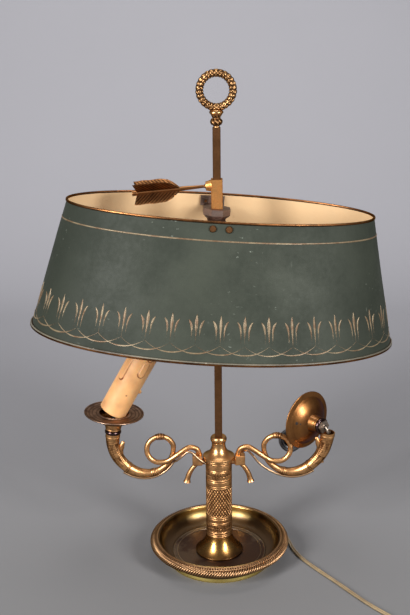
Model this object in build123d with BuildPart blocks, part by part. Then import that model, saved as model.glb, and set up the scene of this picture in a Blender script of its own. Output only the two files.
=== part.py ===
from build123d import *
import os
from math import atan, cos, pi, radians, sin, sqrt, tan

# Two-light bouillotte lamp: dished brass base, chased column, two hunting-horn arms with candle
# fittings, a square rod with a lifting ring, and an oval shade that slides on the rod.
# Millimetres, +Z up. The origin is the centre of the foot's underside. The arms and the long axis
# of the shade lie along X, and the lamp is looked at from -Y.

os.makedirs("parts", exist_ok=True)

# ---------------------------------------------------------------- driving dimensions
slip = 0.05  # radial clearance where one fixed piece seats in or round another
run = 0.08  # clearance on each side of a sliding or turning fit
loose = 0.35  # gap round pieces that only lie or lean against each other
margin = 5.0  # how far a cut runs past what it cuts
edge_break = 0.8  # chamfer on cast and sawn edges

# foot and dish
foot_radius = 59.0
foot_height = 5.4
foot_wall = 2.6
foot_band = 1.4  # height of the foot's upright edge
floor_thickness = 1.6
floor_radius = 54.0
ridge_width = 4.0
ridge_height = 1.1
dish_wall = 1.5
dish_overhang = 0.5  # of the dish past the foot
bowl_fullness = 4.2  # how far the bowl's wall bows in from its crest
crest_radius = 68.7
crest_height = 25.8
rim_radius = 77.8
rope_radius = 3.7
rope_height = 20.6
rope_seat = 2.2  # how far below the rope's middle the dish's wall turns up
felt_thickness = 1.0
weight_inner_radius = 15.0

# column and its cap
column_radius = 14.5
column_wall = 2.0
column_height = 92.0
band_heights = (6.9, 16.4, 25.2, 61.3, 71.0, 80.2)  # grooves, above the column's foot
groove_depth = 0.6
bell_radius = 26.5
bell_height = 21.4
bell_rim = 1.8
bell_wall = 2.2
flange_radius = 17.6
flange_thickness = 3.4
flange_bevel = 1.4
cap_neck_radius = 7.6
cap_bead_radius = 9.0
cap_bead_height = 6.4
cap_height = 26.6
spigot_length = 3.4
tie_radius = 3.0
tie_engagement = 9.0
end_gap = 1.0  # past the end of a stud in its hole
washer_radius = 9.0
washer_thickness = 1.2
nut_height = 2.6
nut_flats = 10.0

# rod and finial
rod_side = 8.0
rod_socket = 13.0
rod_length = 347.6
rod_edge = 0.5
stud_radius = 2.0
stud_length = 9.0
knop_radius = 6.2
waist_radius = 4.9
collar_radius = 7.1
ring_outer_radius = 20.6
ring_tube_radius = 4.05
finial_height = 36.5  # rod end to the middle of the ring

# arms
lug_size = 11.0
lug_gap = 0.3
lug_height = 119.0
tenon_radius = 3.3
tenon_drop = 2.5  # below the middle of the lug
arm_tube_radius = 2.6
loop_radius = 14.5
loop_x = 64.3
loop_z = 131.8
crossing_gap = 6.2  # between the centre lines where the loop crosses the horn
inner_arc_radius = 29.7
inner_arc_turn = 118.0
horn_radii = (2.6, 3.0, 3.5, 4.5, 5.4, 6.1, 6.8, 7.2, 8.0)
outer_arc_radius = {"left": 42.5, "right": 48.0}
mouth_lean = {"left": 5.0, "right": -6.0}
mouth_straight = {"left": 4.9, "right": 7.5}
mouth_bore = 6.7
mouth_depth = 3.5
leaf_width = 6.4
wire_tube_radius = 1.25
wire_tube_reach = 0.6  # how far along the horn the wire tube runs, as a share of its length
wire_tube_gap = 0.6  # at the corners of its route; its arcs pass nearer
wire_tube_bow = {"left": 0.0, "right": 6.0}  # how far it stands off where it meets the horn
mouthpiece_radius = 2.5
mouthpiece_bell = 4.2
mouthpiece_bore = 1.5

# candle fittings
nipple_radius = 4.4
nipple_bore = 2.4
wires_radius = 1.5
lock_nut_flats = 12.2
lock_nut_height = 2.6
nipple_length = 22.0
nipple_below = {"left": 8.0, "right": 3.6}  # standing out under the bead
bead_radius = 9.0
bead_height = 4.3
cup_neck_radius = 8.0
cup_waist_radius = 10.2
cup_waist_height = 9.0
cup_radius = 27.0
cup_height = 18.2
cup_wall = 1.1
punched_holes = ((22.2, 190.0, 1.0), (18.4, 188.0, 0.65))  # in the loose cup: reach, angle, radius
pan_radius = 32.4
pan_hole_radius = 16.0
pan_thickness = 1.1
holder_radius = 13.2
holder_length = 38.0
holder_sunk = 4.0  # below the end of the candle sleeve
holder_bore = 7.2
holder_shoulder = 6.0  # height of its narrower foot
holder_step = 2.0
holder_bore_depth = 24.0
stem_radius = 2.0
sleeve_radius = 15.3
sleeve_bore = 13.6
sleeve_length = 100.0
sleeve_lean = 29.5
sleeve_foot = (-114.4, 0.0, 178.4)
fitting_centre = (97.5, 10.6, 160.2)  # middle of the loose right pan's rim
fitting_turn = 40.8  # which way the loose fitting points, about Z
hang_point = (79.3, 23.8, 128.7)  # open end of the holder that hangs behind the loose pan
hang_slope = (-0.51, -1.0, 0.14)

# shade, its carrier and the key
rim_height = 402.4  # rim plane at the rod
shade_yaw = 2.5
shade_roll = 4.5
shade_shift = 5.0
top_length = 156.7  # half lengths and half widths of the oval
top_width = 74.0
bottom_length = 189.7
bottom_width = 106.0
shade_height = 134.5
shade_wall = 1.0
top_bead_height = 2.6
bottom_bead_height = 3.6
block_side = 11.6
block_edge = 0.7
block_top = 430.0
block_tail = 16.5
boss_radius = 6.2
boss_tip_radius = 4.5
boss_length = 5.2
hub_flats = 27.5
hub_height = 10.4
hub_drop = 1.9
hub_chamfer = 4.0
bar_width = 18.0
bar_thickness = 2.5
tab_width = 26.0
tab_thickness = 2.0
screw_spacing = 15.5
screw_drop = 7.4
screw_radius = 1.5
screw_head_radius = 3.4
screw_head_height = 1.9
nut_side = 6.2
nut_thickness = 2.4
key_drop = 6.6  # key's axis below the top of the block
key_slope = 5.2
key_screw_radius = 2.5
key_shaft_radius = 2.2
key_length = 82.0
key_taper = 22.0  # length over which the shaft swells from its neck
key_nock = 4.0
vane_inset = 5.0  # of the vanes' back edge from the key's end
vane_reach = 15.0
vane_thickness = 1.4

# flexible cord
cord_radius = 2.1
cord_rest = 2.2  # height of the cord's centre line above the ground
bush_width = 9.0
bush_length = 6.0
bush_height = 4.9
cord_route = [
    (0, 57), (0, 76), (14, 93), (38, 95), (60, 80), (74, 55), (80.5, 28), (85, 4), (94, -16),
    (111, -41.5), (127, -63.8), (143, -88.3), (156.5, -107), (171, -123.8), (187, -139), (201, -156),
]
coil_radius = 24.5
coil_rows = 3
tail_length = 30.0
plug_length = 34.0
plug_width = 27.0
plug_thickness = 12.4
pin_radius = 2.0
pin_length = 19.0
pin_spacing = 18.6
plug_cuff = (11.0, 9.0)  # its width and thickness where the cord goes in

# ---------------------------------------------------------------- levels that follow from them
floor_level = foot_height + floor_thickness
column_foot = floor_level + bell_height
column_head = column_foot + column_height
cap_top = column_head + cap_height
rod_foot = cap_top - rod_socket
rod_head = rod_foot + rod_length
rope_centre = rim_radius - rope_radius


def save(builder, name):
    """Label a finished piece and write it as a STEP file of its own."""
    builder.part.label = name
    export_step(builder.part, f"parts/{name}.step")


# ---------------------------------------------------------------- foot and dish
with BuildPart() as foot_ring:
    with BuildSketch(Plane.XZ):
        with BuildLine():
            Polyline(
                (foot_radius - foot_wall, 0),
                (foot_radius, 0),
                (foot_radius, foot_band),
                (foot_radius - edge_break, foot_height),
                (foot_radius - foot_wall, foot_height),
                close=True,
            )
        make_face()
    revolve(axis=Axis.Z)
    with BuildSketch(Plane.XZ.offset(-foot_radius - margin)):
        with Locations((0, bush_height / 2)):
            Rectangle(bush_width + 2 * slip, bush_height + 2 * slip)
    extrude(amount=foot_wall + 2 * margin, mode=Mode.SUBTRACT)
save(foot_ring, "foot_ring")

with BuildPart() as cord_bush:
    with BuildSketch(Plane.XZ.offset(-foot_radius + foot_wall)):
        with Locations((0, bush_height / 2)):
            Rectangle(bush_width, bush_height)
        with Locations((0, cord_rest)):
            Circle(cord_radius + slip, mode=Mode.SUBTRACT)
        with Locations((0, 0)):
            Rectangle(2 * (cord_radius + slip), 2 * cord_rest, mode=Mode.SUBTRACT)
    extrude(amount=-bush_length)
save(cord_bush, "cord_bush")

with BuildPart() as base_dish:
    with BuildSketch(Plane.XZ):
        with BuildLine():
            wall_foot = foot_radius + dish_overhang
            seat = rope_height - rope_seat
            Polyline((tie_radius + slip, foot_height), (wall_foot, foot_height))
            ThreePointArc(
                (wall_foot, foot_height),
                (wall_foot + (crest_radius - wall_foot) * 0.72, foot_height + (seat - foot_height) * 0.42),
                (crest_radius, seat),
            )
            Polyline((crest_radius, seat), (crest_radius, crest_height), (crest_radius - dish_wall, crest_height))
            ThreePointArc(
                (crest_radius - dish_wall, crest_height),
                (crest_radius - bowl_fullness, floor_level + (crest_height - floor_level) * 0.36),
                (floor_radius, floor_level),
            )
            ThreePointArc(
                (floor_radius, floor_level),
                (floor_radius - ridge_width / 2, floor_level + ridge_height),
                (floor_radius - ridge_width, floor_level),
            )
            Polyline(
                (floor_radius - ridge_width, floor_level),
                (tie_radius + slip, floor_level),
                (tie_radius + slip, foot_height),
            )
        make_face()
    revolve(axis=Axis.Z)
save(base_dish, "base_dish")

with BuildPart() as gadrooned_rim:
    with BuildSketch(Plane.XZ):
        with BuildLine():
            inner = crest_radius + slip
            lip_width = 1.6
            shoulder = (rope_centre - 0.6, rope_height + rope_radius - 0.05)
            skirt = (rope_centre - 1.2, rope_height - rope_radius + 0.2)
            Polyline((inner, rope_height - 1.8), (inner, crest_height - 0.4))
            ThreePointArc((inner, crest_height - 0.4), (inner + 0.6, crest_height + 0.3), (inner + lip_width, crest_height))
            Line((inner + lip_width, crest_height), shoulder)
            ThreePointArc(shoulder, (rim_radius, rope_height), skirt)
            Line(skirt, (inner, rope_height - 1.8))
        make_face()
    revolve(axis=Axis.Z)
save(gadrooned_rim, "gadrooned_rim")

with BuildPart() as felt_pad:
    with BuildSketch(Plane.XY):
        Circle(foot_radius - foot_wall - loose)
    extrude(amount=felt_thickness)
save(felt_pad, "felt_pad")

with BuildPart() as base_weight:
    with BuildSketch(Plane.XY.offset(felt_thickness + slip)):
        Circle(foot_radius - foot_wall - 2 * loose)
        Circle(weight_inner_radius, mode=Mode.SUBTRACT)
    extrude(amount=foot_height - felt_thickness - 2 * slip)
    chamfer(base_weight.edges().filter_by(GeomType.CIRCLE).group_by(Axis.Z)[-1], edge_break)
save(base_weight, "base_weight")

# ---------------------------------------------------------------- bell foot, column and cap
with BuildPart() as bell_foot:
    with BuildSketch(Plane.XZ):
        with BuildLine():
            top_outer = (column_radius - 0.4, column_foot)
            rim_top = (bell_radius, floor_level + bell_rim)
            cavity_top = column_foot - 3 * bell_wall
            Polyline((bell_radius - 1.2 * bell_wall, floor_level), (bell_radius, floor_level), rim_top)
            ThreePointArc(
                rim_top,
                (column_radius + (bell_radius - column_radius) * 0.36, floor_level + bell_height * 0.48),
                top_outer,
            )
            Polyline(top_outer, (tie_radius + slip, column_foot), (tie_radius + slip, cavity_top))
            Polyline(
                (tie_radius + slip, cavity_top),
                (column_radius - bell_wall, cavity_top),
                (bell_radius - 1.2 * bell_wall, floor_level),
            )
        make_face()
    revolve(axis=Axis.Z)
save(bell_foot, "bell_foot")

with BuildPart() as column:
    with BuildSketch(Plane.XZ):
        outline = [(column_radius - column_wall, column_foot), (column_radius, column_foot)]
        for height in band_heights:
            level = column_foot + height
            outline.append((column_radius, level - groove_depth))
            outline.append((column_radius - groove_depth, level))
            outline.append((column_radius, level + groove_depth))
        outline.append((column_radius, column_head))
        outline.append((column_radius - column_wall, column_head))
        with BuildLine():
            Polyline(*outline, close=True)
        make_face()
    revolve(axis=Axis.Z)
    with BuildSketch(Plane.YZ.offset(-column_radius - margin)):
        with Locations((0, lug_height - tenon_drop)):
            Circle(tenon_radius + slip)
    extrude(amount=2 * column_radius + 2 * margin, mode=Mode.SUBTRACT)
save(column, "column")

with BuildPart() as column_cap:
    with BuildSketch(Plane.XZ):
        with BuildLine():
            spigot = column_radius - column_wall - slip
            flange_top = column_head + flange_thickness
            bead_foot = cap_top - cap_bead_height
            Polyline(
                (tie_radius + slip, column_head - spigot_length),
                (spigot, column_head - spigot_length),
                (spigot, column_head),
                (flange_radius, column_head),
                (flange_radius, flange_top),
                (flange_radius - flange_bevel, flange_top + flange_bevel / 2),
            )
            ThreePointArc(
                (flange_radius - flange_bevel, flange_top + flange_bevel / 2),
                (cap_neck_radius + 2.6, flange_top + 5.4),
                (cap_neck_radius, bead_foot - 1.2),
            )
            Line((cap_neck_radius, bead_foot - 1.2), (cap_neck_radius, bead_foot))
            ThreePointArc(
                (cap_neck_radius, bead_foot),
                (cap_bead_radius, (bead_foot + cap_top) / 2),
                (cap_neck_radius, cap_top),
            )
            Polyline(
                (cap_neck_radius, cap_top),
                (0, cap_top),
                (0, column_head + tie_engagement),
                (tie_radius + slip, column_head + tie_engagement),
                (tie_radius + slip, column_head - spigot_length),
            )
        make_face()
    revolve(axis=Axis.Z)
    with BuildSketch(Plane.XY.offset(cap_top)):
        Rectangle(rod_side + 2 * slip, rod_side + 2 * slip)
    extrude(amount=-rod_socket, mode=Mode.SUBTRACT)
save(column_cap, "column_cap")

with BuildPart() as tie_rod:
    with BuildSketch(Plane.XY.offset(felt_thickness + loose)):
        Circle(tie_radius)
    extrude(amount=column_head + tie_engagement - end_gap - felt_thickness - loose)
    chamfer(tie_rod.edges().filter_by(GeomType.CIRCLE), 0.5)
save(tie_rod, "tie_rod")

with BuildPart() as tie_rod_washer:
    with BuildSketch(Plane.XY.offset(foot_height - washer_thickness)):
        Circle(washer_radius)
        Circle(tie_radius + slip, mode=Mode.SUBTRACT)
    extrude(amount=washer_thickness)
save(tie_rod_washer, "tie_rod_washer")

with BuildPart() as tie_rod_nut:
    with BuildSketch(Plane.XY.offset(foot_height - washer_thickness - nut_height)):
        RegularPolygon(nut_flats / 2, 6, major_radius=False)
        Circle(tie_radius + slip, mode=Mode.SUBTRACT)
    extrude(amount=nut_height)
save(tie_rod_nut, "tie_rod_nut")

# ---------------------------------------------------------------- rod and finial
with BuildPart() as square_rod:
    with BuildSketch(Plane.XY.offset(rod_foot)):
        Rectangle(rod_side, rod_side)
        chamfer(vertices(), rod_edge)
    extrude(amount=rod_length)
    with Locations((0, 0, rod_head)):
        Hole(stud_radius + slip, stud_length + end_gap)
save(square_rod, "square_rod")

ring_height = rod_head + finial_height
ring_path_radius = ring_outer_radius - ring_tube_radius

with BuildPart() as finial_ring:
    with Locations(Location((0, 0, ring_height), (90, 0, 0))):
        Torus(ring_path_radius, ring_tube_radius)
save(finial_ring, "finial_ring")

with BuildPart() as finial_baluster:
    with BuildSketch(Plane.XZ):
        with BuildLine():
            knop = rod_head + 4.6
            waist = rod_head + 11.2
            collar = rod_head + 13.8
            saddle = ring_height - ring_outer_radius + 1.2
            Polyline(
                (0, rod_head - stud_length),
                (stud_radius, rod_head - stud_length),
                (stud_radius, rod_head),
                (3.6, rod_head),
                (3.1, rod_head + 1.6),
            )
            ThreePointArc((3.1, rod_head + 1.6), (knop_radius, knop), (waist_radius - 0.4, waist - 2.2))
            ThreePointArc(
                (waist_radius - 0.4, waist - 2.2),
                (waist_radius, waist),
                (collar_radius - 0.6, collar),
            )
            Polyline(
                (collar_radius - 0.6, collar),
                (collar_radius, collar + 0.6),
                (collar_radius, saddle - 1.4),
                (collar_radius - 1.6, saddle),
                (0, saddle),
                (0, rod_head - stud_length),
            )
        make_face()
    revolve(axis=Axis.Z)
    with Locations(Location((0, 0, ring_height), (90, 0, 0))):
        Torus(ring_path_radius, ring_tube_radius + slip, mode=Mode.SUBTRACT)
save(finial_baluster, "finial_baluster")

# ---------------------------------------------------------------- arms
lug_inner = flange_radius + lug_gap
lug_middle = lug_inner + lug_size / 2
lug_top = lug_height + lug_size / 2
lug_base = lug_height - lug_size / 2
horn_lowest = loop_x - loop_radius + inner_arc_radius
half_crossing = crossing_gap / 2


def horn_path(side, name):
    """Centre line of one horn, from its small end beside the loop to its mouth.

    Two tangent arcs and a short straight, in an upright plane that starts behind the loop's
    crossing and ends at the arm's own plane at the mouth.
    """
    outer = outer_arc_radius[name]
    join_turn = radians(inner_arc_turn - 90)
    join_x = horn_lowest + inner_arc_radius * sin(join_turn)
    join_z = loop_z - inner_arc_radius * cos(join_turn)
    end_turn = radians(90 + mouth_lean[name])
    centre_x = join_x - outer * sin(join_turn)
    centre_z = join_z + outer * cos(join_turn)
    middle_turn = (join_turn + end_turn) / 2
    start_x = loop_x - loop_radius
    reach = centre_x + outer - start_x
    plane = Plane(
        origin=(side * start_x, half_crossing, 0),
        x_dir=(side * reach, -half_crossing, 0),
        z_dir=(side * half_crossing, reach, 0) if side < 0 else (-half_crossing, -reach, 0),
    )
    with BuildLine(plane) as path:
        ThreePointArc(
            (0, loop_z),
            (horn_lowest - start_x - inner_arc_radius * cos(radians(45)),
             loop_z - inner_arc_radius * sin(radians(45))),
            (join_x - start_x, join_z),
        )
        ThreePointArc(
            (join_x - start_x, join_z),
            (centre_x + outer * sin(middle_turn) - start_x, centre_z - outer * cos(middle_turn)),
            (centre_x + outer * sin(end_turn) - start_x, centre_z - outer * cos(end_turn)),
        )
        end_x = centre_x + outer * sin(end_turn) - start_x
        end_z = centre_z - outer * cos(end_turn)
        Line(
            (end_x, end_z),
            (end_x + mouth_straight[name] * cos(end_turn), end_z + mouth_straight[name] * sin(end_turn)),
        )
    return path, plane


def horn_radius(share):
    """Radius of the horn's tube at a share of its length from the small end."""
    place = share * (len(horn_radii) - 1)
    index = min(int(place), len(horn_radii) - 2)
    return horn_radii[index] + (horn_radii[index + 1] - horn_radii[index]) * (place - index)


def loop_points(side):
    """Corners of the thin tube: lug, hump, down the front, once round the loop, horn's small end."""
    corners = [
        (lug_middle - 2.3, 0.0, lug_top - 1.2),
        (lug_middle - 0.2, -0.6, lug_top + 7.6),
        (lug_middle + 8.4, -1.6, lug_top + 10.8),
        (lug_middle + 16.4, -half_crossing, lug_top + 6.0),
        (loop_x - 16.6, -half_crossing, loop_z - 7.4),
        (loop_x - 7.0, -half_crossing, loop_z - loop_radius + 0.5),
    ]
    steps = 8
    first, last = 285.0, 525.0
    corner_radius = loop_radius / cos(radians(15))
    for step in range(steps + 1):
        turn = first + (last - first) * step / steps
        depth = -half_crossing + crossing_gap * step / steps
        corners.append(
            (
                loop_x + corner_radius * cos(radians(turn)),
                depth,
                loop_z + corner_radius * sin(radians(turn)),
            )
        )
    corners.append((loop_x - loop_radius, half_crossing, loop_z + 2 * slip))
    return [(side * x, y, z) for x, y, z in corners]


def bend_radii(points):
    """For each corner, an arc that takes up to nine tenths of half the shorter run beside it."""
    corners = [Vector(*point) for point in points]
    radii = []
    for before, corner, after in zip(corners, corners[1:], corners[2:]):
        first, second = corner - before, after - corner
        half_turn = radians(first.get_angle(second)) / 2
        radii.append(0.45 * min(first.length, second.length) / tan(half_turn))
    return radii


def pipe(points, radius):
    """A round tube along straight runs joined by tangent arcs, as a builder."""
    with BuildPart() as tube:
        with BuildLine():
            path = FilletPolyline(*points, radius=bend_radii(points))
        with BuildSketch(Plane(origin=path @ 0, z_dir=path % 0)):
            Circle(radius)
        sweep(path=path)
    return tube


for side, name in ((-1, "left"), (1, "right")):
    with BuildPart() as lug:
        with Locations((side * lug_middle, 0, lug_height)):
            Box(lug_size, lug_size, lug_size)
        chamfer(lug.edges(), edge_break)
        with BuildSketch(Plane.YZ.offset(side * (column_radius - column_wall + 0.4))):
            with Locations((0, lug_height - tenon_drop)):
                Circle(tenon_radius)
        extrude(amount=side * (lug_inner - column_radius + column_wall - 0.4 + 1.0))
    save(lug, f"{name}_lug")

    with BuildPart() as mouthpiece:
        with BuildLine():
            curve = ThreePointArc(
                (side * (lug_middle + 1.0), 0, lug_base),
                (side * (lug_middle + 8.0), 0, lug_base - 9.0),
                (side * (lug_middle + 11.2), 0, lug_base - 18.0),
            )
        with BuildSketch(Plane(origin=curve @ 0, z_dir=curve % 0)):
            Circle(mouthpiece_radius)
        sweep(path=curve)
        end = Plane(origin=curve @ 1, x_dir=(0, 1, 0), z_dir=curve % 1)
        with BuildSketch(end):
            Circle(mouthpiece_radius)
        with BuildSketch(end.offset(3.4)):
            Circle(mouthpiece_bell)
        loft()
        with BuildSketch(end.offset(3.5)):
            Circle(mouthpiece_bell - 0.9)
        with BuildSketch(end.offset(-4.0)):
            Circle(mouthpiece_bore)
        loft(mode=Mode.SUBTRACT)
        split(bisect_by=Plane.XY.offset(lug_base - slip), keep=Keep.BOTTOM)
    save(mouthpiece, f"{name}_mouthpiece")

    path, horn_plane = horn_path(side, name)
    with BuildPart() as horn:
        wire = path.wires()[0]
        for index, radius in enumerate(horn_radii):
            share = index / (len(horn_radii) - 1)
            with BuildSketch(Plane(origin=wire @ share, x_dir=horn_plane.z_dir, z_dir=wire % share)):
                Circle(radius)
        loft()
        mouth = Plane(origin=wire @ 1, x_dir=horn_plane.z_dir, z_dir=wire % 1)
        with BuildSketch(horn_plane):
            root = loop_x + 47.0 - (loop_x - loop_radius)
            with BuildLine():
                Spline((root - 7.0, 115.5), (root - 4.6, 128.0), (root - 6.2, 136.5), (root - 9.6, 142.0))
                Spline((root - 9.6, 142.0), (root - 6.4, 143.8), (root - 2.8, 139.4), (root - 1.0, 132.0))
                Polyline((root - 1.0, 132.0), (root + 3.0, 120.0), (root - 7.0, 115.5))
            make_face()
        extrude(amount=leaf_width / 2, both=True)
        with BuildSketch(mouth):
            Circle(mouth_bore)
        extrude(amount=-mouth_depth, mode=Mode.SUBTRACT)
        with BuildSketch(mouth):
            Circle(nipple_radius + slip)
        extrude(amount=-mouth_depth - nipple_below["left"], mode=Mode.SUBTRACT)
    save(horn, f"{name}_horn")

    loop_tube = pipe(loop_points(side), arm_tube_radius)
    with BuildPart() as trimmed_tube:
        add(loop_tube.part)
        with Locations((side * lug_middle, 0, lug_height)):
            Box(lug_size, lug_size, lug_size + 2 * slip, mode=Mode.SUBTRACT)
    save(trimmed_tube, f"{name}_loop_tube")

    out = side * (lug_size / 2 + wire_tube_radius + slip)  # in front of the left lug, behind the right one
    if name == "left":
        conduit = [
            (column_radius - 0.6, out, lug_height - 2.2),
            (lug_middle - 2.4, out, lug_height + 2.4),
            (lug_middle + 4.2, out, lug_height + 10.0),
            (lug_middle + 10.0, out + 0.8, lug_height + 12.7),
            (lug_middle + 17.6, out + 1.1, lug_height + 5.8),
            (loop_x - 17.1, -1.5, lug_height - 1.4),
        ]
    else:
        conduit = [
            (column_radius - 0.6, out, lug_height - 2.6),
            (lug_middle - 3.2, out, lug_height - 0.6),
            (lug_middle + 3.8, out, lug_height + 6.6),
            (lug_middle + 8.6, out - 1.6, lug_height + 8.2),
            (lug_middle + 15.3, 3.4, lug_height + 1.3),
        ]
    conduit = [(side * x, y, z) for x, y, z in conduit]
    first_share = 0.12
    for step in range(7):
        share = first_share + (wire_tube_reach - first_share) * step / 6
        stand_off = wire_tube_bow[name] * max(0.0, 1 - step / 3) ** 2
        outward = (wire % share).cross(horn_plane.z_dir)
        reach = horn_radius(share) + wire_tube_radius + wire_tube_gap + stand_off
        conduit.append(tuple(wire @ share + outward * reach))
    save(pipe(conduit, wire_tube_radius), f"{name}_wire_tube")
    if side < 0:
        left_mouth = mouth
    else:
        right_mouth = mouth

# ---------------------------------------------------------------- candle fittings
# The left fitting stands in its horn. The right one has come off and leans on its horn's mouth.
rim_plane_rise = bead_height + cup_height + slip + pan_thickness
turn = radians(fitting_turn)
facing = Vector(sin(turn), -cos(turn), 0)
fallen = Plane(
    origin=Vector(*fitting_centre) + facing * rim_plane_rise,
    x_dir=(cos(turn), sin(turn), 0),
    z_dir=-facing,
)
standing = Plane(origin=left_mouth.origin, x_dir=(0, 1, 0), z_dir=left_mouth.z_dir)


def profile_plane(frame):
    """The plane through a fitting's axis in which its turned profiles are drawn."""
    return Plane(origin=frame.origin, x_dir=frame.x_dir, z_dir=frame.x_dir.cross(frame.z_dir))


for frame, name in ((standing, "left"), (fallen, "right")):
    section = profile_plane(frame)
    axis = Axis(frame.origin, frame.z_dir)
    cup_foot = bead_height
    cup_top = bead_height + cup_height

    with BuildPart() as collar_bead:
        with BuildSketch(section):
            with BuildLine():
                Polyline((bead_radius - 1.2, bead_height), (nipple_radius + slip, bead_height))
                Polyline((nipple_radius + slip, bead_height), (nipple_radius + slip, 0), (bead_radius - 1.2, 0))
                ThreePointArc((bead_radius - 1.2, 0), (bead_radius, bead_height / 2), (bead_radius - 1.2, bead_height))
            make_face()
        revolve(axis=axis)
    save(collar_bead, f"{name}_collar_bead")

    with BuildPart() as candle_cup:
        with BuildSketch(section):
            with BuildLine():
                waist = cup_foot + cup_waist_height
                belly = (cup_waist_radius + (cup_radius - cup_waist_radius) * 0.62, waist + (cup_top - waist) * 0.45)
                Polyline(
                    (nipple_radius + slip, cup_foot),
                    (cup_neck_radius, cup_foot),
                    (cup_waist_radius, waist),
                )
                ThreePointArc((cup_waist_radius, waist), belly, (cup_radius, cup_top))
                Line((cup_radius, cup_top), (cup_radius - cup_wall, cup_top))
                ThreePointArc(
                    (cup_radius - cup_wall, cup_top),
                    (belly[0] - cup_wall * 0.6, belly[1] + cup_wall),
                    (cup_waist_radius - cup_wall, waist + cup_wall),
                )
                Polyline(
                    (cup_waist_radius - cup_wall, waist + cup_wall),
                    (cup_neck_radius - cup_wall, cup_foot + 2.0),
                    (nipple_radius + slip, cup_foot + 2.0),
                    (nipple_radius + slip, cup_foot),
                )
            make_face()
        revolve(axis=axis)
        if name == "right":
            for reach, angle, radius in punched_holes:
                with BuildSketch(frame):
                    with PolarLocations(reach, 1, start_angle=angle):
                        Circle(radius)
                extrude(amount=cup_top, mode=Mode.SUBTRACT)
    save(candle_cup, f"{name}_candle_cup")

    with BuildPart() as drip_pan:
        with BuildSketch(section):
            with BuildLine():
                base = cup_top + slip
                Polyline(
                    (pan_hole_radius, base),
                    (cup_radius, base),
                    (pan_radius - 1.0, base + 0.9),
                )
                ThreePointArc(
                    (pan_radius - 1.0, base + 0.9),
                    (pan_radius, base + 1.6),
                    (pan_radius - 1.0, base + 2.3),
                )
                Polyline(
                    (pan_radius - 1.0, base + 2.3),
                    (cup_radius, base + pan_thickness),
                    (pan_hole_radius + 2.0, base + pan_thickness),
                    (pan_hole_radius + 0.8, base + pan_thickness + 0.7),
                    (pan_hole_radius, base + pan_thickness + 0.7),
                    (pan_hole_radius, base),
                )
            make_face()
        revolve(axis=axis)
    save(drip_pan, f"{name}_drip_pan")

    with BuildPart() as nipple:
        with BuildSketch(frame.offset(-nipple_below[name])):
            Circle(nipple_radius)
            Circle(nipple_bore, mode=Mode.SUBTRACT)
        extrude(amount=nipple_length)
    save(nipple, f"{name}_nipple")

with BuildPart() as right_lock_nut:
    with BuildSketch(fallen.offset(-slip)):
        RegularPolygon(lock_nut_flats / 2, 6, major_radius=False)
        Circle(nipple_radius + slip, mode=Mode.SUBTRACT)
    extrude(amount=-lock_nut_height)
save(right_lock_nut, "right_lock_nut")

# lampholders: a black socket on a bent stem
nipple_top = {name: nipple_length - below for name, below in nipple_below.items()}
lean = radians(sleeve_lean)
sleeve_axis = Vector(sin(lean), 0, cos(lean))
sleeve_base = Vector(*sleeve_foot)
left_socket = Plane(
    origin=sleeve_base + sleeve_axis * (sleeve_length - holder_length - holder_sunk),
    x_dir=(0, 1, 0),
    z_dir=sleeve_axis,
)
hang_direction = Vector(*hang_slope).normalized()
right_socket = Plane(
    origin=Vector(*hang_point) - hang_direction * holder_length,
    x_dir=(0, 1, 0),
    z_dir=hang_direction,
)
left_stem = [
    tuple(standing.origin + standing.z_dir * (nipple_top["left"] + loose)),
    tuple(standing.origin + standing.z_dir * (nipple_top["left"] + 12.0)),
    tuple(sleeve_base + sleeve_axis * 22.0),
    tuple(left_socket.origin + sleeve_axis * 1.0),
]
right_stem = [
    tuple(fallen.origin + fallen.z_dir * (nipple_top["right"] + loose)),
    tuple(fallen.origin + fallen.z_dir * (nipple_top["right"] + 12.0)),
    tuple(right_socket.origin - hang_direction * 10.0 + Vector(0.0, -4.0, 26.0)),
    tuple(right_socket.origin - hang_direction * 13.0),
    tuple(right_socket.origin + hang_direction * 1.0),
]
for socket, stem, name in ((left_socket, left_stem, "left"), (right_socket, right_stem, "right")):
    with BuildPart() as lampholder:
        with BuildLine():
            path = FilletPolyline(*stem, radius=bend_radii(stem))
        with BuildSketch(Plane(origin=path @ 0, z_dir=path % 0)):
            Circle(stem_radius)
        sweep(path=path)
        with BuildSketch(socket):
            Circle(holder_radius - holder_step)
        extrude(amount=holder_shoulder)
        with BuildSketch(socket.offset(holder_shoulder)):
            Circle(holder_radius)
        extrude(amount=holder_length - holder_shoulder)
        with BuildSketch(socket.offset(holder_length)):
            Circle(holder_bore)
        extrude(amount=-holder_bore_depth, mode=Mode.SUBTRACT)
    save(lampholder, f"{name}_lampholder")

with BuildPart() as left_candle_sleeve:
    with BuildSketch(Plane(origin=sleeve_base, x_dir=(0, 1, 0), z_dir=sleeve_axis)):
        Circle(sleeve_radius)
        Circle(sleeve_bore, mode=Mode.SUBTRACT)
    extrude(amount=sleeve_length)
save(left_candle_sleeve, "left_candle_sleeve")

# the wires that the loose fitting hangs by, from its nipple down into the horn's mouth
nipple_end = fallen.origin - fallen.z_dir * nipple_below["right"]
wires_route = [
    tuple(nipple_end + fallen.z_dir * 4.0),
    tuple(nipple_end - fallen.z_dir * 2.6),
    tuple(nipple_end - fallen.z_dir * 3.6 + Vector(0.0, 0.0, -5.6)),
    tuple(right_mouth.origin + Vector(1.6, -6.0, 2.7)),
    tuple(right_mouth.origin + Vector(0.4, -1.2, 1.8)),
    tuple(right_mouth.origin - right_mouth.z_dir * 6.0),
]
save(pipe(wires_route, wires_radius), "right_wires")

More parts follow.
